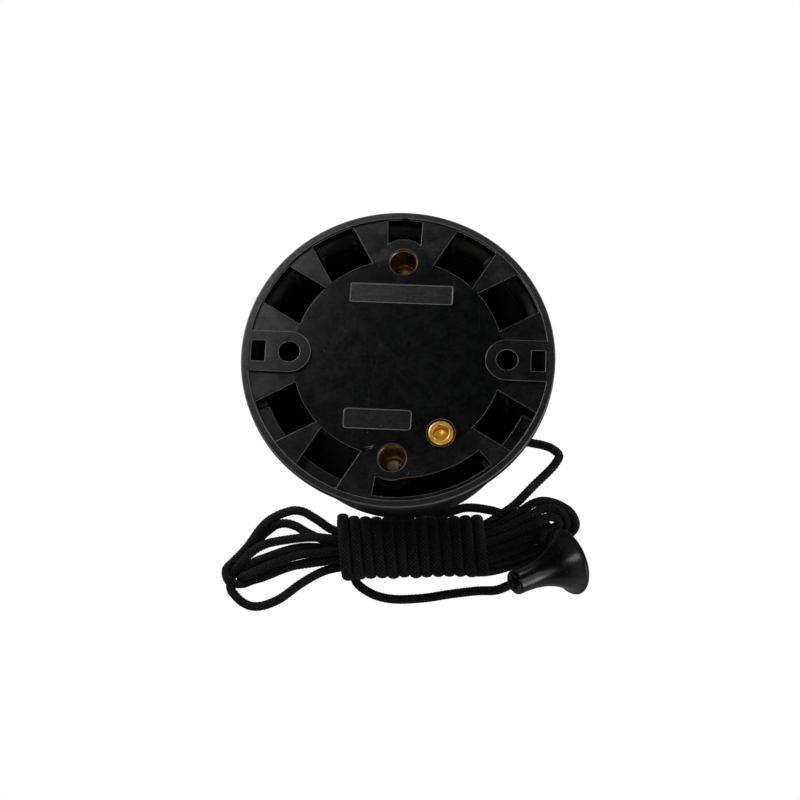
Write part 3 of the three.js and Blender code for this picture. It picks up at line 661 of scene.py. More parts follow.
def side_radius(height):
    """Radius of the leaning outer side at a height."""
    return rim_radius - SIDE_TAPER * (rim_top - height)


def rim_and_wall():
    inner = rim_radius - RIM_WIDTH
    band = rim_top - RIM_BAND
    profile = rounded([
        (side_radius(-BASE_DEPTH) - WALL_THICKNESS, -BASE_DEPTH, 0.2),
        (side_radius(-BASE_DEPTH), -BASE_DEPTH, 0.35),
        (side_radius(band), band, 0.15),
        (rim_radius, band, 0.3),
        (rim_radius, rim_top, 0.55),
        (inner, rim_top, 0.3),
        (inner, -PANEL_THICKNESS, 0.15),
    ], 4)
    return lathe(profile, 256)


def to_rim_window(inner, half, centre_degrees):
    """An inner side carried out to the rim by straight sides, half a window's width off the middle."""
    reach = math.degrees(math.asin(half / WINDOW_OUTER))
    return inner + arc((0, 0), WINDOW_OUTER, centre_degrees - reach, centre_degrees + reach, 10)


def window_outline(centre_degrees):
    """A window between two ribs: straight sides, with arcs at the disc and at the rim."""
    half = WINDOW_WIDTH / 2
    reach = math.degrees(math.asin(half / DISC_RADIUS))
    disc_side = arc((0, 0), DISC_RADIUS, centre_degrees + reach, centre_degrees - reach, 10)
    return to_rim_window(disc_side, half, centre_degrees)


def top_window_outline():
    """The narrow window above the top insert; its lower side follows the insert's boss."""
    half = 4.9
    reach = math.degrees(math.acos(half / BOSS_RADIUS))
    boss_side = arc((0, insert_top.y), BOSS_RADIUS - 0.4, 180 - reach, reach, 14)
    return to_rim_window(boss_side, half, 90)


def slot_outline():
    """The long curved slot beside the lower insert."""
    start, end = SLOT_DEGREES
    return arc((0, 0), SLOT_RADII[0], start, end, 28) + arc((0, 0), SLOT_RADII[1], end, start, 28)


def fixing_cut_outs(side):
    """The round fixing hole and the square knock-out on one side."""
    knock_out = rectangle(*KNOCK_OUT, 0.3, (side * KNOCK_OUT_OFFSET, 0))
    return [circle((side * HOLE_OFFSET, 0), FIXING_HOLE), knock_out]


def panel():
    outlines = [
        circle((0, 0), rim_radius - RIM_WIDTH + 0.5, 256),
        *[window_outline(degrees) for degrees in WINDOW_DEGREES],
        top_window_outline(),
        slot_outline(),
        *fixing_cut_outs(1),
        *fixing_cut_outs(-1),
        circle(insert_top.xy, BOSS_RADIUS - 1.5),
        circle(insert_bottom.xy, LOWER_BOSS_RADIUS - 1.0),
        circle(earth.xy, EARTH_HOLE),
    ]
    return plate(outlines, -PANEL_THICKNESS, 0, 0.22)


def fixing_pad(side):
    """A raised pad round a fixing hole, running out to the rim."""
    reach = rim_radius - RIM_WIDTH / 2
    outline = arc((HOLE_OFFSET, 0), PAD_HALF_WIDTH, 90, 270, 40)
    outline += straight((reach, -PAD_HALF_WIDTH), (reach, PAD_HALF_WIDTH))
    outline = turned_by(outline, 0 if side > 0 else 180)
    return plate([outline] + fixing_cut_outs(side), -1.0, rim_top, 0.3)


def insert_boss(centre, radius):
    """The plastic post round a brass insert, with an eased lip over the brass."""
    mouth, bore, ledge = 3.92, 4.22, -0.95
    profile = rounded([
        (bore, boss_foot, 0.15), (radius, boss_foot, 0.3), (radius, 0, 0.3),
        (mouth, 0, 0.25), (mouth, ledge, 0.1), (bore, ledge, 0.05),
    ])
    return lathe(profile, 72, centre.xy)


def ledge(start_degrees, end_degrees):
    inner = arc((0, 0), 37.8, start_degrees, end_degrees, 24)
    outer = arc((0, 0), rim_radius - RIM_WIDTH + 0.3, end_degrees, start_degrees, 24)
    return plate([inner + outer], -4.8, -2.4, 0.2)


def label_recess(width, height, corner, centre):
    """A cutter for a shallow tray with leaning sides."""
    outline = rectangle(width, height, corner, centre)
    return layered([outline], [(0.0, -0.3), (-0.42, 0.12)])


def collar(centre, bore, radius, foot, segments):
    """A round collar that hangs from the panel's underside."""
    profile = rounded([(bore, foot, 0), (radius, foot, 0.2), (radius, -1, 0), (bore, -1, 0)])
    return lathe(profile, segments, centre)


def inner_ribs():
    """Thin upright ribs inside the wall, seen through the windows."""
    ribs = []
    for degrees in RIB_DEGREES:
        outline = straight((38.2, -0.5), (41.2, -0.5), (41.2, 0.5), (38.2, 0.5))
        ribs.append(plate([turned_by(outline, degrees)], -10.6, -4.2, 0.15, 2))
    return ribs


def make_base():
    joined = [
        panel(), fixing_pad(1), fixing_pad(-1),
        insert_boss(insert_top, BOSS_RADIUS), insert_boss(insert_bottom, LOWER_BOSS_RADIUS),
        *[ledge(start, end) for start, end in LEDGE_DEGREES],
        collar(earth.xy, EARTH_HOLE, 5.2, -10, 48),
        *[collar(node_centre(f"housing_screw_{count}").xy, 1.5, 3.0, -7.1, 32) for count in (1, 2)],
        *inner_ribs(),
    ]
    cutters = [
        drum(2.0, -PANEL_THICKNESS - 1, rim_top + 1, (0, WINDOW_OUTER - 1.6)),
        *[label_recess(*label) for label in LABELS],
    ]
    return smooth(merged("base_shell", rim_and_wall(), joined, cutters))


fitted(make_base(), "switch_body", BASE_PLASTIC, ["base_plate"])


# ---- cover ----

POST_GAP = 0.3
POST_RADIUS = 4.4
POST_FOOT_RADIUS = 5.6
NOZZLE_HEIGHT = 2.4
COVER_SHOULDER = -30
GUIDE_HOLE = 3.3


def bezier(points, steps):
    """Points on a Bezier curve of any order, without its first one."""
    curve = []
    for step in range(1, steps + 1):
        level = [Vector(point) for point in points]
        while len(level) > 1:
            level = [a.lerp(b, step / steps) for a, b in zip(level, level[1:])]
        curve.append(level[0])
    return curve


def cover_outside():
    """The solid outer form of the dome: nozzle, nearly flat front, round corner and tapered side."""
    tip = cover_low.z
    front = tip + NOZZLE_HEIGHT
    edge = cover_high.z
    foot = side_radius(edge - 2.2)
    outline = straight((0, tip), (4.4, tip))
    curves = (
        (5, (5.1, tip), (5.3, tip + 0.8)),
        (10, (5.7, front), (9.3, front + 0.2)),
        (12, (20, front + 0.4), (30, front + 1)),
        (20, (34.6, front + 1.4), (35, front + 5.5)),
    )
    for steps, bend, end in curves:
        outline += bezier([outline[-1], bend, end], steps)
    outline += straight(
        (side_radius(COVER_SHOULDER), COVER_SHOULDER), (foot, edge - 2.2),
        (foot - 0.25, edge - 2.0), (foot - 0.2, edge - 1.6),
        (side_radius(edge - 1.4), edge - 1.4), (side_radius(edge - 0.3), edge - 0.3),
        (side_radius(edge) - 0.3, edge), (0, edge),
    )
    return lathe(outline, 224)


def cover_hollow():
    """The room under the dome, as a cutter."""
    floor = cover_low.z + NOZZLE_HEIGHT + 1.5
    mouth = cover_high.z + 2
    outline = straight((0, floor), (29, floor + 1.2))
    outline += bezier([outline[-1], (32.8, floor + 1.5), (33.3, floor + 4.2)], 12)
    outline += straight(
        (side_radius(COVER_SHOULDER) - WALL_THICKNESS, COVER_SHOULDER),
        (side_radius(mouth) - WALL_THICKNESS, mouth), (0, mouth),
    )
    return lathe(outline, 160)


def cover_post(centre):
    """A screw post from the front of the dome up to the base's boss."""
    top = boss_foot - POST_GAP
    foot = cover_low.z - 1
    profile = rounded([
        (0, foot, 0), (POST_FOOT_RADIUS, foot, 0), (POST_FOOT_RADIUS, -28, 0.4),
        (POST_RADIUS, -27.2, 0.3), (POST_RADIUS, top, 0.2), (0, top, 0),
    ])
    return lathe(profile, 64, centre.xy)


def screw_well(centre):
    """A stepped cutter: a wide well for the screw's head and a narrow hole for its shank."""
    seat = node_box("cover_screw_top")[0].z + 2.6
    outline = rounded([
        (0, -60, 0), (4.3, -60, 0), (4.3, seat, 0.3), (2.1, seat, 0), (2.1, 0, 0), (0, 0, 0),
    ])
    return lathe(outline, 64, centre.xy)


def make_cover():
    places = (insert_top, insert_bottom)
    hollow = merged("hollow", cover_hollow(), [], [cover_post(centre) for centre in places])
    guide_hole = drum(GUIDE_HOLE, -60, -40)
    cutters = [hollow, guide_hole, *[screw_well(centre) for centre in places]]
    return smooth(merged("cover_shell", cover_outside(), [], cutters))


def make_cord_guide():
    low, high = node_box("cord_guide")
    profile = rounded([
        (1.6, low.z, 0.6), (4.4, low.z, 0.45), (4.4, low.z + 0.7, 0.25), (3.0, low.z + 0.7, 0.1),
        (3.0, high.z, 0.2), (1.6, high.z, 0.4),
    ], 5)
    return smooth(lathe(profile, 64, name="cord_bush"))


fitted(make_cover(), "switch_body", COVER_PLASTIC, ["cover"])
fitted(make_cord_guide(), "switch_body", COVER_PLASTIC, ["cord_guide"])


# ---- brass inserts, earth terminal and screws ----

def make_insert(node, name):
    """A turned brass insert: wide bore, shoulder, threaded narrow bore and a bright floor."""
    low, high = node_box(node)
    centre = (low + high) / 2
    wide, narrow, thread, outer = 3.7, 3.35, 1.95, 4.2
    shoulder, floor = high.z - 10.1, high.z - 12.4
    profile = straight(
        (thread, low.z), (outer, low.z), (outer, high.z - 0.15), (outer - 0.15, high.z),
        (wide + 0.2, high.z), (wide, high.z - 0.25), (wide, shoulder + 0.1), (wide - 0.1, shoulder),
        (narrow + 0.12, shoulder), (narrow, shoulder - 0.15), (narrow, floor + 0.2),
        (narrow - 0.2, floor), (thread + 0.35, floor), (thread, floor - 0.35),
    )
    return smooth(lathe(profile, 72, centre.xy, name), 25)


def threaded(radius, depth, pitch, low, high, centre):
    """A threaded shank: its radius rises and falls along a helix."""
    around, per_turn = 36, 8
    rows = int((high - low) / pitch * per_turn)
    bm = bmesh.new()
    rings = []
    for row in range(rows + 1):
        height = low + (high - low) * row / rows
        ease = min(1.0, (high - height) / pitch, (height - low) / pitch + 0.05)
        ring = []
        for step in range(around):
            angle = FULL_TURN * step / around
            phase = (height / pitch - step / around) % 1
            r = radius - depth * (1 - abs(2 * phase - 1)) * ease - 0.25 * (1 - ease)
            place = Vector((centre.x + r * math.cos(angle), centre.y + r * math.sin(angle), height))
            ring.append(bm.verts.new(place * MM))
        rings.append(ring)
    return capped("thread", bm, rings)


def make_screw(node, name, shorter):
    """A pan head machine screw that points up, with a cross recess in its head."""
    low, high = node_box(node)
    high.z -= shorter
    centre = (low + high) / 2
    head, height, shank = 3.4, 2.3, 1.62
    seat = low.z + height
    profile = straight((0, low.z))
    profile += bezier([(0, low.z), (2.6, low.z), (head, low.z + 0.7), (head, seat - 0.3)], 12)
    profile += straight((head - 0.2, seat), (shank, seat), (shank, high.z - 9), (0, high.z - 9))
    body = lathe(profile, 48, centre.xy)
    thread = threaded(1.75, 0.35, 0.7, high.z - 9.4, high.z, centre)
    cutters = []
    for width, length in ((0.9, 3.6), (3.6, 0.9)):
        outline = rectangle(width, length, 0.2, centre.xy)
        cutters.append(layered([outline], [(0.0, low.z - 1.0), (0.28, low.z + 1.3)]))
    return smooth(merged(name, body, [thread], cutters), 30)


def make_earth_terminal():
    """A polished brass tube with an eased rim, a blind front bore and a wire hole across it."""
    low, high = node_box("earth_terminal")
    outer, bore, depth = 3.6, 2.05, 3.4
    top = high.z
    profile = rounded([
        (0, low.z, 0), (outer, low.z, 0.2), (outer, top, 0.55), (bore, top, 0.45),
        (bore, top - depth, 0.2), (0, top - depth - 0.9, 0),
    ], 5)
    body = lathe(profile, 72, earth.xy)
    wire = drum(1.5, -6, 6, segments=32)
    across = Matrix.Translation(Vector((earth.x, earth.y, -11.4)) * MM)
    wire.data.transform(across @ Matrix.Rotation(math.pi / 2, 4, "X"))
    clamp = drum(1.5, low.z - 1, -11, earth.xy, 32)
    return smooth(merged("earth_tube", body, [], [wire, clamp]), 30)


for place, shorter in (("top", 2.0), ("bottom", 0.0)):
    insert = make_insert(f"cover_insert_{place}", f"brass_insert_{place}")
    fitted(insert, "switch_body", BRASS, [f"cover_insert_{place}"])
    screw = make_screw(f"cover_screw_{place}", f"pan_screw_{place}", shorter)
    fitted(screw, "switch_body", STEEL, [f"cover_screw_{place}"])
fitted(make_earth_terminal(), "switch_body", EARTH_BRASS.material, ["earth_terminal"])


# ---- braided cord ----

CORD_RADIUS = 1.33
STRANDS = 8
BRAID_PITCH = 9.0
RELIEF = 0.2
AROUND = 28
RING_STEP = 0.24
SETTLE_STEP = 1.0
SETTLE_ROUNDS = 30
SQUEEZE = 0.88
KNOT_RADIUS = 1.25


def reach_along(line):
    """How far along a line each of its places lies."""
    return np.concatenate([[0], np.cumsum(np.linalg.norm(np.diff(line, axis=0), axis=1))])


def places_at(wanted, reach, line):
    return np.stack([np.interp(wanted, reach, line[:, axis]) for axis in range(3)], 1)


def part_way(start, end, first, last, t):
    """The value at t on the straight line that is at start at first and at end at last."""
    return start * (last - t) / (last - first) + end * (t - first) / (last - first)


def spline(points, closed=False, spacing=RING_STEP):
    """Evenly spaced places on a smooth line through the points."""
    fine = 40
    corners = [np.array(point, float) for point in points]
    if closed:
        corners = [corners[-1]] + corners + corners[:2]
    else:
        corners = [2 * corners[0] - corners[1]] + corners + [2 * corners[-1] - corners[-2]]
    places = []
    for a, b, c, d in zip(corners, corners[1:], corners[2:], corners[3:]):
        knots = [0.0]
        for start, end in ((a, b), (b, c), (c, d)):
            knots.append(knots[-1] + max(1e-6, np.linalg.norm(end - start)) ** 0.5)
        t0, t1, t2, t3 = knots
        for step in range(fine):
            t = t1 + (t2 - t1) * step / fine
            bc = part_way(b, c, t1, t2, t)
            abc = part_way(part_way(a, b, t0, t1, t), bc, t0, t2, t)
            bcd = part_way(bc, part_way(c, d, t2, t3, t), t1, t3, t)
            places.append(part_way(abc, bcd, t1, t2, t))
    if not closed:
        places.append(corners[-2])
    line = np.array(places + ([places[0]] if closed else []))
    reach = reach_along(line)
    wanted = np.linspace(0, reach[-1], max(8, int(reach[-1] / spacing)) + 1)
    return places_at(wanted[:-1] if closed else wanted, reach, line)


def directions(line, closed):
    """Unit directions along a line of places."""
    if closed:
        along = np.roll(line, -1, 0) - np.roll(line, 1, 0)
    else:
        along = np.gradient(line, axis=0)
    return along / np.linalg.norm(along, axis=1, keepdims=True)


def steady_sides(along):
    """A side direction at each place that turns as little as it can."""
    side = np.cross(along[0], (0.0, 0.0, 1.0))
    if np.linalg.norm(side) < 0.1:
        side = np.cross(along[0], (1.0, 0.0, 0.0))
    sides = []
    for direction in along:
        side = side - direction * side.dot(direction)
        side = side / np.linalg.norm(side)
        sides.append(side)
    return np.array(sides)


def braid_height(turns, rows):
    """Relief of two strand families that pass over and under each other, 0 to 1."""
    left, right = turns + rows, turns - rows
    over = (np.floor(left) + np.floor(right)) % 2 < 1
    a, b = np.sin(np.pi * (left % 1)), np.sin(np.pi * (right % 1))
    return np.where(over, a ** 0.9 * b ** 0.35, b ** 0.9 * a ** 0.35)


def braided(name, line, closed=False, sides=None, width=1.0, thickness=1.0):
    """A braided cord along a line; width and thickness flatten it along and across its sides."""
    along = directions(line, closed)
    if sides is None:
        sides = steady_sides(along)
    ups = np.cross(along, sides)
    reach = reach_along(line)
    total = reach[-1] + (np.linalg.norm(line[0] - line[-1]) if closed else 0)
    rows_total = total * STRANDS / BRAID_PITCH
    if closed:
        rows_total = max(2, 2 * round(rows_total / 2))
    rows = reach / total * rows_total
    angle = np.arange(AROUND) / AROUND * FULL_TURN
    turns = angle / FULL_TURN * STRANDS
    height = braid_height(turns[None, :], rows[:, None])
    radius = CORD_RADIUS - RELIEF + RELIEF * 1.35 * height
    points = (line[:, None, :] + radius[..., None] * (
        width * np.cos(angle)[None, :, None] * sides[:, None, :]
        + thickness * np.sin(angle)[None, :, None] * ups[:, None, :]
    ))
    index = np.arange(len(line) * AROUND).reshape(-1, AROUND)
    nexts = np.roll(index, -1, 0) if closed else index[1:]
    here = index if closed else index[:-1]
    quads = np.stack([here, np.roll(here, -1, 1), np.roll(nexts, -1, 1), nexts], -1).reshape(-1, 4)
    faces = quads.tolist()
    if not closed:
        faces += [index[0, ::-1].tolist(), index[-1].tolist()]
    mesh = bpy.data.meshes.new(name)
    mesh.from_pydata((points.reshape(-1, 3) * MM).tolist(), [], faces)
    braid_map(mesh, rows, turns)
    mesh.shade_smooth()
    return object_from(name, mesh)


def braid_map(mesh, rows, turns):
    """A UV map that counts strands round the cord and rows along it."""
    layer = mesh.uv_layers.new(name="braid")
    corners = np.zeros(len(mesh.loops), int)
    mesh.loops.foreach_get("vertex_index", corners)
    around = turns[corners % AROUND]
    length = rows[corners // AROUND]
    layer.data.foreach_set("uv", np.stack([around, length], 1).ravel())


# The wrapped middle of the hank is a flattened roll that lies a little askew.
ROLL_START = Vector((-18.0, -43.2, -48.2))
ROLL_TURN = math.radians(3.6)
ROLL_LENGTH = 44.4
ROLL_ACROSS = 9.4
ROLL_UP = 5.8
WRAP_PITCH = 3.3
WRAP_WIDTH = 1.26
WRAP_THICKNESS = 0.8


def wrap_line(seed):
    """The places of the turns wound round the hank, and the direction that they advance in."""
    chance = random.Random(seed)
    along = np.array((math.cos(ROLL_TURN), math.sin(ROLL_TURN), 0.0))
    across = np.array((-math.sin(ROLL_TURN), math.cos(ROLL_TURN), 0.0))
    turns = int(ROLL_LENGTH / WRAP_PITCH)
    per_turn = 200
    shifts = [chance.uniform(-0.16, 0.16) for _ in range(turns + 2)]
    swells = [chance.uniform(-0.28, 0.18) for _ in range(turns + 2)]
    swells[:2] = [1.3, 0.4]
    places = []
    inner = CORD_RADIUS * WRAP_THICKNESS
    for step in range(turns * per_turn + 1):
        turn = step / per_turn
        whole, part = int(turn), turn % 1
        ease = part * part * (3 - 2 * part)
        shift = shifts[whole] * (1 - ease) + shifts[whole + 1] * ease
        swell = swells[whole] * (1 - ease) + swells[whole + 1] * ease
        angle = FULL_TURN * turn - 1.9
        y = (ROLL_ACROSS - inner + swell) * math.cos(angle)
        z = (ROLL_UP - inner + swell * 0.35) * math.sin(angle)
        advance = 1.4 + WRAP_PITCH * turn + shift
        places.append(np.array(ROLL_START) + along * advance + across * y + np.array((0, 0, z)))
    return np.array(places), along


def make_wraps():
    places, side = wrap_line(7)
    reach = reach_along(places)
    line = places_at(np.linspace(0, reach[-1], int(reach[-1] / RING_STEP)), reach, places)
    along = directions(line, False)
    sides = side - along * (along @ side)[:, None]
    sides /= np.linalg.norm(sides, axis=1, keepdims=True)
    return braided("cord_wraps", line, False, sides, WRAP_WIDTH, WRAP_THICKNESS)


def on_knob_axis(distance):
    return tuple(knob_foot + knob_axis * distance)


LEAD = [
    (0, 0, -32), (0, 0, -40), (0, 0, -48), (0, 0, -50.8), (1.3, -0.2, -52.6), (4, -0.7, -53.1),
    (20, -3.4, -53.1), (38.7, -6.5, -53.1), (44.8, -7.8, -53.1), (47.6, -10.2, -53.1), (46.4, -13, -53),
    (39.8, -20.8, -51.8), (33.6, -28.4, -49.2), (30, -31.4, -48.3), (24, -35, -48.6), (14, -38.5, -49.5),
]
UPPER_LOOP = [
    (-17.6, -38.6, -46.6), (-24.4, -34.7, -47), (-29.6, -32.3, -47.8), (-35, -33.6, -48.6),
    (-39.7, -37.3, -49.3), (-43.6, -43, -50), (-47.9, -49.2, -51), (-49.2, -52.2, -51.6),
    (-47.4, -54, -52.1), (-39.8, -52.1, -52), (-31.8, -49, -51), (-22, -46.8, -49.5), (-10, -46, -49),
    (8, -45.4, -49), (24, -46.2, -48.6), (32.3, -44.6, -49), (38.1, -42.2, -50.6), (44, -38.6, -52.2),
    (49, -35.6, -52), (51.8, -33.8, -49.8), (52, -32.4, -47.4), (49.4, -29.2, -46.8), (45.4, -26.9, -46.4),
    (41.4, -26.9, -46.1), (36.5, -30, -46.1), (30.4, -34.7, -46.6), (23, -38.6, -47), (6, -40.2, -46.6),
]
MIDDLE_LOOP = [
    (-16, -42, -49.6), (-25.9, -39, -49), (-30.9, -36.7, -48.4), (-35.2, -36.2, -49.2),
    (-39.1, -38.3, -50.6), (-43.3, -43.7, -51.8), (-46.4, -48.4, -52.2), (-47.3, -51.6, -51.8),
    (-45.1, -52.5, -50.4), (-38.4, -49.5, -49.2), (-29.1, -45.4, -48.2), (-21, -44.6, -47.4),
    (-10, -43.4, -46.8), (10, -43, -47.6), (24, -44.4, -46.8), (30.7, -43, -47), (36.5, -40.4, -48),
    (42, -37, -50.4), (47.4, -34.6, -51), (50, -33.6, -49.4), (49.8, -31.8, -47), (47.3, -29.4, -45.8),
    (43.4, -29.2, -45.2), (38.6, -31.8, -45.3), (31.2, -35.8, -45.6), (23, -40, -46), (4, -41.8, -45.6),
]
LOWER_LOOP = [
    (-14, -41.6, -45.8), (-23.9, -40.8, -45.8), (-31.9, -41.6, -46.8), (-39.5, -43.4, -48),
    (-44.6, -47.1, -49.6), (-47.6, -51.2, -51.2), (-48.2, -55.1, -52.6), (-46.2, -58.6, -53),
    (-41.2, -60.8, -53), (-34.6, -58.7, -53), (-27.2, -52.9, -52.8), (-20.2, -49.2, -51.4),
    (-10, -47.4, -50.8), (10, -44, -50.4), (24, -42.8, -46.4), (32.1, -40.4, -46.2), (37.9, -37.8, -46.8),
    (43, -34.8, -48.6), (47.4, -33.4, -49.6), (48.9, -32.8, -47.8), (47, -31.2, -45.9), (42.1, -32.6, -45.4),
    (37.8, -35.2, -45.4), (32, -38, -45.4), (24, -41.4, -45.8), (4, -42.6, -46),
]
INNER_LOOP = [
    (-12, -44.4, -49.4), (-24, -43.4, -48.5), (-32, -44.8, -48.5), (-39.6, -47.2, -49.5),
    (-43.6, -49, -50.4), (-44.9, -50.6, -51.6), (-42, -51.2, -52.8), (-33, -48.6, -52.8), (-22, -46.6, -52),
    (-10, -44.6, -51.6), (10, -46, -51.4), (24, -47.6, -49.5), (32, -46.4, -50.4), (39, -42.4, -51.8),
    (44, -37.8, -52.4), (46, -34.6, -50.6), (43.4, -33.8, -48.8), (36, -37.8, -48.8), (28, -41.4, -49),
    (14, -43.4, -48.6),
]
STRAY = [
    (8, -33.5, -49.6), (15, -30.6, -49.2), (20, -28.9, -49.2), (26.1, -28.9, -50), (31.8, -30.1, -50),
    (36.9, -32.1, -48.9), (41, -32.6, -48.2),
]
TAIL = [
    (-12, -46, -52.6), (-11.6, -51.6, -53.1), (-7.1, -55.1, -53.1), (-1.1, -56.6, -53.1),
    (8, -56.2, -52.4), (17, -55.2, -49), (24.6, -55.4, -42.5), (30.2, -56, -37.4),
    on_knob_axis(-1.6), on_knob_axis(0.6), on_knob_axis(6), on_knob_axis(13),
]


def evened(push, closed):
    """The same moves, shared out along a strand so that it stays a smooth curve."""
    for _ in range(3):
        padded = np.concatenate([push[-1:], push, push[:1]] if closed else [push[:1], push, push[-1:]])
        push = 0.25 * padded[:-2] + 0.5 * padded[1:-1] + 0.25 * padded[2:]
    return push


def settled(strands, lowest):
    """Pushes the strands apart, a little at a time, until neighbours only just touch."""
    lines = [spline(points, closed, SETTLE_STEP) for points, closed in strands]
    counts = [len(line) for line in lines]
    owner = np.repeat(np.arange(len(lines)), counts)
    order = np.concatenate([np.arange(count) for count in counts])
    steps = np.abs(order[:, None] - order[None])
    around = np.where([closed for _, closed in strands], counts, 10 ** 6)[owner]
    same = (owner[:, None] == owner[None]) & (np.minimum(steps, around[:, None] - steps) * SETTLE_STEP < 6)
    places = np.concatenate(lines)
    gap = 2 * CORD_RADIUS * SQUEEZE
    for _ in range(SETTLE_ROUNDS):
        apart = places[:, None] - places[None]
        distance = np.maximum(1e-3, np.linalg.norm(apart, axis=2))
        overlap = np.where(same, 0, np.clip(gap - distance, 0, None))
        touching = np.maximum(1, (overlap > 0).sum(1))
        push = (apart * (overlap / distance)[..., None]).sum(1) / touching[:, None] * 0.6
        places = places + np.concatenate([
            evened(push[owner == index], closed) for index, (_, closed) in enumerate(strands)
        ])
        places[:, 2] = np.maximum(places[:, 2], lowest)
    return [places[owner == index] for index in range(len(strands))]


def knot(name, centre, axis):
    """An overhand knot drawn tight: a short trefoil of the same cord."""
    up = np.array(axis)
    side = np.cross(up, (0.0, 0.0, 1.0))
    if np.linalg.norm(side) < 0.1:
        side = np.array((1.0, 0.0, 0.0))
    side /= np.linalg.norm(side)
    third = np.cross(up, side)
    points = []
    for step in range(24):
        angle = FULL_TURN * step / 24
        a = (math.sin(angle) + 2 * math.sin(2 * angle)) * KNOT_RADIUS / 3
        b = (math.cos(angle) - 2 * math.cos(2 * angle)) * KNOT_RADIUS / 3
        c = -math.sin(3 * angle) * KNOT_RADIUS * 0.55
        points.append(np.array(centre) + side * a + third * b + up * c)
    return braided(name, spline(points, True), True, width=0.75, thickness=0.75)


def make_cord():
    hank = {
        "cord_loop_upper": (UPPER_LOOP, True),
        "cord_loop_middle": (MIDDLE_LOOP, True),
        "cord_loop_lower": (LOWER_LOOP, True),
        "cord_loop_inner": (INNER_LOOP, True),
        "cord_lead": (LEAD, False),
        "cord_stray": (STRAY, False),
    }
    lines = settled(list(hank.values()), min(place[2] for place in LEAD))
    pieces = [
        braided(name, spline(line[::3], closed), closed)
        for (name, (_, closed)), line in zip(hank.items(), lines)
    ]
    pieces += [
        braided("cord_tail", spline(TAIL)),
        make_wraps(),
        knot("cord_knot_slider", (0, 0, -32.3), (0.0, 0.0, 1.0)),
        knot("cord_knot_knob", on_knob_axis(13.4), tuple(knob_axis)),
    ]
    for piece in pieces:
        stands_for = ["cord"] if piece.name == "cord_wraps" else []
        fitted(piece, "pull", CORD_FIBRE, stands_for)


make_cord()


# ---- knob ----

KNOB_LENGTH = 19.7
NECK_RADIUS = 3.6
MOUTH_RADIUS = 10.2
FLARE = 2.9


def knob_radius(along):
    return NECK_RADIUS + (MOUTH_RADIUS - NECK_RADIUS) * (along / KNOB_LENGTH) ** FLARE


def make_knob():
    """A hollow bell: cord bore, eased neck end, flare, rolled mouth and thin wall."""
    wall, bore, neck_end, steps = 1.2, 1.6, 8.4, 30
    outside = straight((bore + 0.35, 0), (NECK_RADIUS - 0.8, 0))
    outside += arc((NECK_RADIUS - 0.8, 0.8), 0.8, -90, 0, 6)
    for step in range(1, steps + 1):
        along = 0.9 + (KNOB_LENGTH - 1.5) * step / steps
        outside.append(Vector((knob_radius(along), along)))
    lip = KNOB_LENGTH - 0.55
    outside += arc((MOUTH_RADIUS - 0.45, lip), 0.55, 10, 170, 10)
    inside = []
    for step in range(steps, 0, -1):
        along = neck_end + 1.6 + (KNOB_LENGTH - 1.1 - neck_end - 1.6) * step / steps
        inside.append(Vector((knob_radius(along) - wall, along)))
    inside += straight(
        (NECK_RADIUS - wall - 0.4, neck_end + 0.3), (bore + 0.3, neck_end),
        (bore, neck_end - 0.3), (bore, 0.35),
    )
    bell = lathe(outside + inside, 128, name="bell_knob")
    turn = knob_axis.to_track_quat("Z", "Y").to_matrix().to_4x4()
    bell.data.transform(Matrix.Translation(knob_foot * MM) @ turn)
    return smooth(bell, 40)


fitted(make_knob(), "knob", KNOB_PLASTIC, ["knob"])


# ---- return spring ----

def make_return_spring(low, high):
    """A coil of round wire that fills the box from low to high."""
    wire, turns, per_turn, around = 0.35, 6, 64, 12
    coil = (high.x - low.x) / 2 - wire
    centre = (low + high) / 2
    places = []
    for step in range(turns * per_turn + 1):
        angle = FULL_TURN * step / per_turn
        height = low.z + wire + (high.z - low.z - 2 * wire) * step / (turns * per_turn)
        places.append((centre.x + coil * math.cos(angle), centre.y + coil * math.sin(angle), height))
    line = np.array(places)
    along = directions(line, False)
    sides = steady_sides(along)
    bm = bmesh.new()
    rings = []
    for place, side, up in zip(line, sides, np.cross(along, sides)):
        angles = [FULL_TURN * step / around for step in range(around)]
        ring = [place + wire * (math.cos(angle) * side + math.sin(angle) * up) for angle in angles]
        rings.append([bm.verts.new(point * MM) for point in ring])
    return smooth(capped("return_coil", bm, rings), 50)


# The coil fills the return spring's box, standing on the housing's floor.
spring_low, spring_high = node_box("return_spring")
coil = make_return_spring(spring_low, spring_high)
spring = fitted(coil, "switch_body", STEEL, ["return_spring"])
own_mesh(spring)


# ---- carried-over CAD nodes ----

KEPT_FINISHES = {
    "grey_plastic": GREY_PLASTIC,
    "white_plastic": WHITE_PLASTIC,
    "brass": BRASS,
    "steel": STEEL,
    "copper": COPPER,
}

for subpart in frame["record"]["subparts"]:
    kept = frame["nodes"][subpart["node"]]
    if kept.hide_render:
        continue
    kept.data.materials.clear()
    kept.data.materials.append(KEPT_FINISHES[subpart["material_slot"]])
    ease = kept.modifiers.new("eased_edges", "BEVEL")
    ease.width = 0.12 * MM
    ease.segments = 2
    ease.limit_method = "ANGLE"
    ease.angle_limit = math.radians(50)


# ---- floor, light and camera ----

TENT_LOW = 0.85
TENT_HIGH = 0.045
FLOOR_GLOW = 0.08
LOW_BOXES = ((-115, 0.08), (-30, 0.16), (60, 0.35), (150, 0.35))
LOW_BOX_REACH = 420
SENSOR_WIDTH = 36.0
FOCAL_LENGTH = 76.5
CAMERA_DISTANCE = 465.1
CAMERA_AIM = Vector((1.35, -12.96, rim_top))
CAMERA_AZIMUTH = math.radians(8.76)
CAMERA_ELEVATION = math.radians(70.85)
CAMERA_ROLL = math.radians(-6.0)


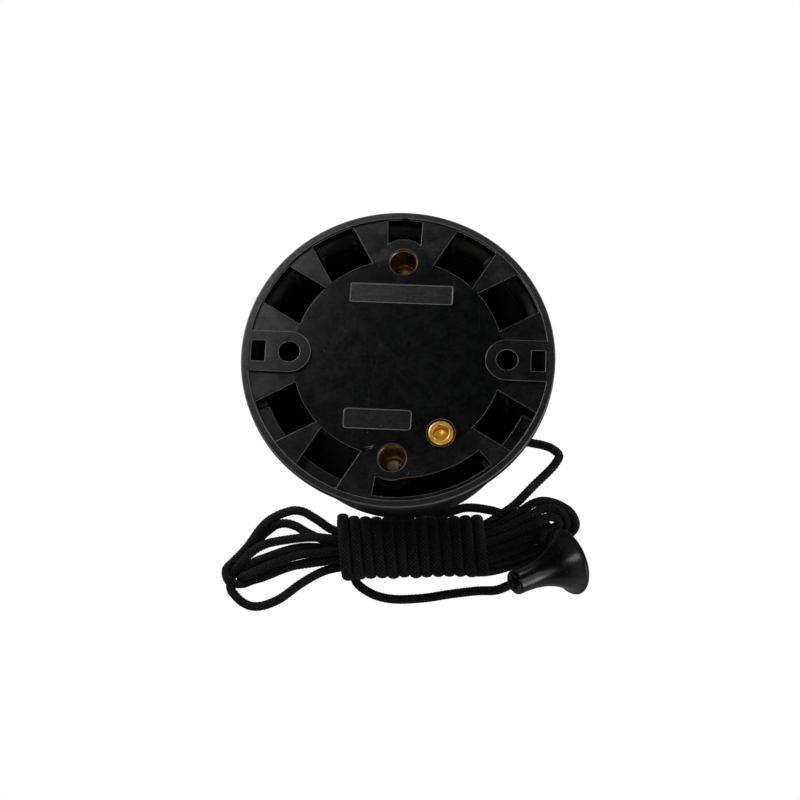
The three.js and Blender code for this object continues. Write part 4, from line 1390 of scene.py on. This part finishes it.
def floor():
    """A plain white floor, clear of the pulled-down cord and unseen from below."""
    height = cad_low.z / MM - pull_travel - 1.0
    reach = 1500
    corners = [(-reach, -reach), (reach, -reach), (reach, reach), (-reach, reach)]
    mesh = bpy.data.meshes.new("floor")
    mesh.from_pydata([(x * MM, y * MM, height * MM) for x, y in corners], [], [(0, 1, 2, 3)])
    sheet = object_from("floor", mesh)
    finish = Finish("white_sweep", (0.42, 0.42, 0.42), 0.9)
    finish.set("Emission Color", (1, 1, 1, 1))
    finish.set("Emission Strength", FLOOR_GLOW)
    glow = finish.node("ShaderNodeEmission")
    clear = finish.node("ShaderNodeBsdfTransparent")
    to_eye = finish.node("ShaderNodeLightPath").outputs["Is Camera Ray"]
    from_below = finish.node("ShaderNodeNewGeometry").outputs["Backfacing"]
    above = finish.choice(to_eye, finish.shader.outputs[0], glow.outputs[0])
    surface = finish.choice(from_below, above, clear.outputs[0])
    finish.feed(finish.tree.nodes["Material Output"].inputs["Surface"], surface)
    mesh.materials.append(finish.material)


def surroundings():
    """White to the eye; a tent for reflections that is bright low down and dim overhead."""
    world = bpy.data.worlds.new("tent")
    bpy.context.scene.world = world
    world.use_nodes = True
    nodes = Nodes(world.node_tree)
    tent = nodes.tree.nodes["Background"]
    backdrop = nodes.node("ShaderNodeBackground")
    backdrop.inputs["Color"].default_value = (1, 1, 1, 1)
    height = nodes.axes(nodes.node("ShaderNodeTexCoord").outputs["Generated"])[2]
    nodes.feed(tent.inputs["Strength"], nodes.ramp(height, 0.05, 0.45, TENT_LOW, TENT_HIGH, "LINEAR"))
    to_eye = nodes.node("ShaderNodeLightPath").outputs["Is Camera Ray"]
    sky = nodes.choice(to_eye, tent.outputs[0], backdrop.outputs[0])
    nodes.feed(nodes.tree.nodes["World Output"].inputs["Surface"], sky)


def softbox(name, place, aim, width, height, power):
    """A rectangular area light at a place, in millimetres, turned to its aim."""
    lamp = bpy.data.lights.new(name, "AREA")
    lamp.shape = "RECTANGLE"
    lamp.size, lamp.size_y = width * MM, height * MM
    lamp.energy = power
    light = object_from(name, lamp)
    light.location = Vector(place) * MM
    light.rotation_mode = "QUATERNION"
    light.rotation_quaternion = (Vector(aim) - Vector(place)).to_track_quat("-Z", "Y")
    light.visible_camera = False


def lights():
    softbox("key_box", (-112, 108, 130), (-5, 5, 0), 90, 70, 0.165)
    softbox("side_box", (420, -120, 180), (0, -10, -10), 380, 420, 0.5)
    for degrees, power in LOW_BOXES:
        angle = math.radians(degrees)
        place = (LOW_BOX_REACH * math.cos(angle), LOW_BOX_REACH * math.sin(angle), 45)
        softbox("low_box", place, (0, -10, -25), 90, 200, power)
    softbox("eye_box", (-40, -200, 430), (0, -10, -10), 120, 120, 0.2)


def camera():
    """A view from nearly overhead, leaning towards the hanked cord."""
    lens = bpy.data.cameras.new("camera")
    lens.sensor_width = SENSOR_WIDTH
    lens.lens = FOCAL_LENGTH
    lens.clip_start = 0.01
    eye = object_from("camera", lens)
    back = Vector((
        math.sin(CAMERA_AZIMUTH) * math.cos(CAMERA_ELEVATION),
        -math.cos(CAMERA_AZIMUTH) * math.cos(CAMERA_ELEVATION),
        math.sin(CAMERA_ELEVATION),
    ))
    eye.location = (CAMERA_AIM + back * CAMERA_DISTANCE) * MM
    eye.rotation_mode = "QUATERNION"
    roll = Matrix.Rotation(CAMERA_ROLL, 4, "Z").to_quaternion()
    eye.rotation_quaternion = back.to_track_quat("Z", "Y") @ roll
    bpy.context.scene.camera = eye


floor()
surroundings()
lights()
camera()
bpy.context.scene.view_settings.view_transform = "Standard"
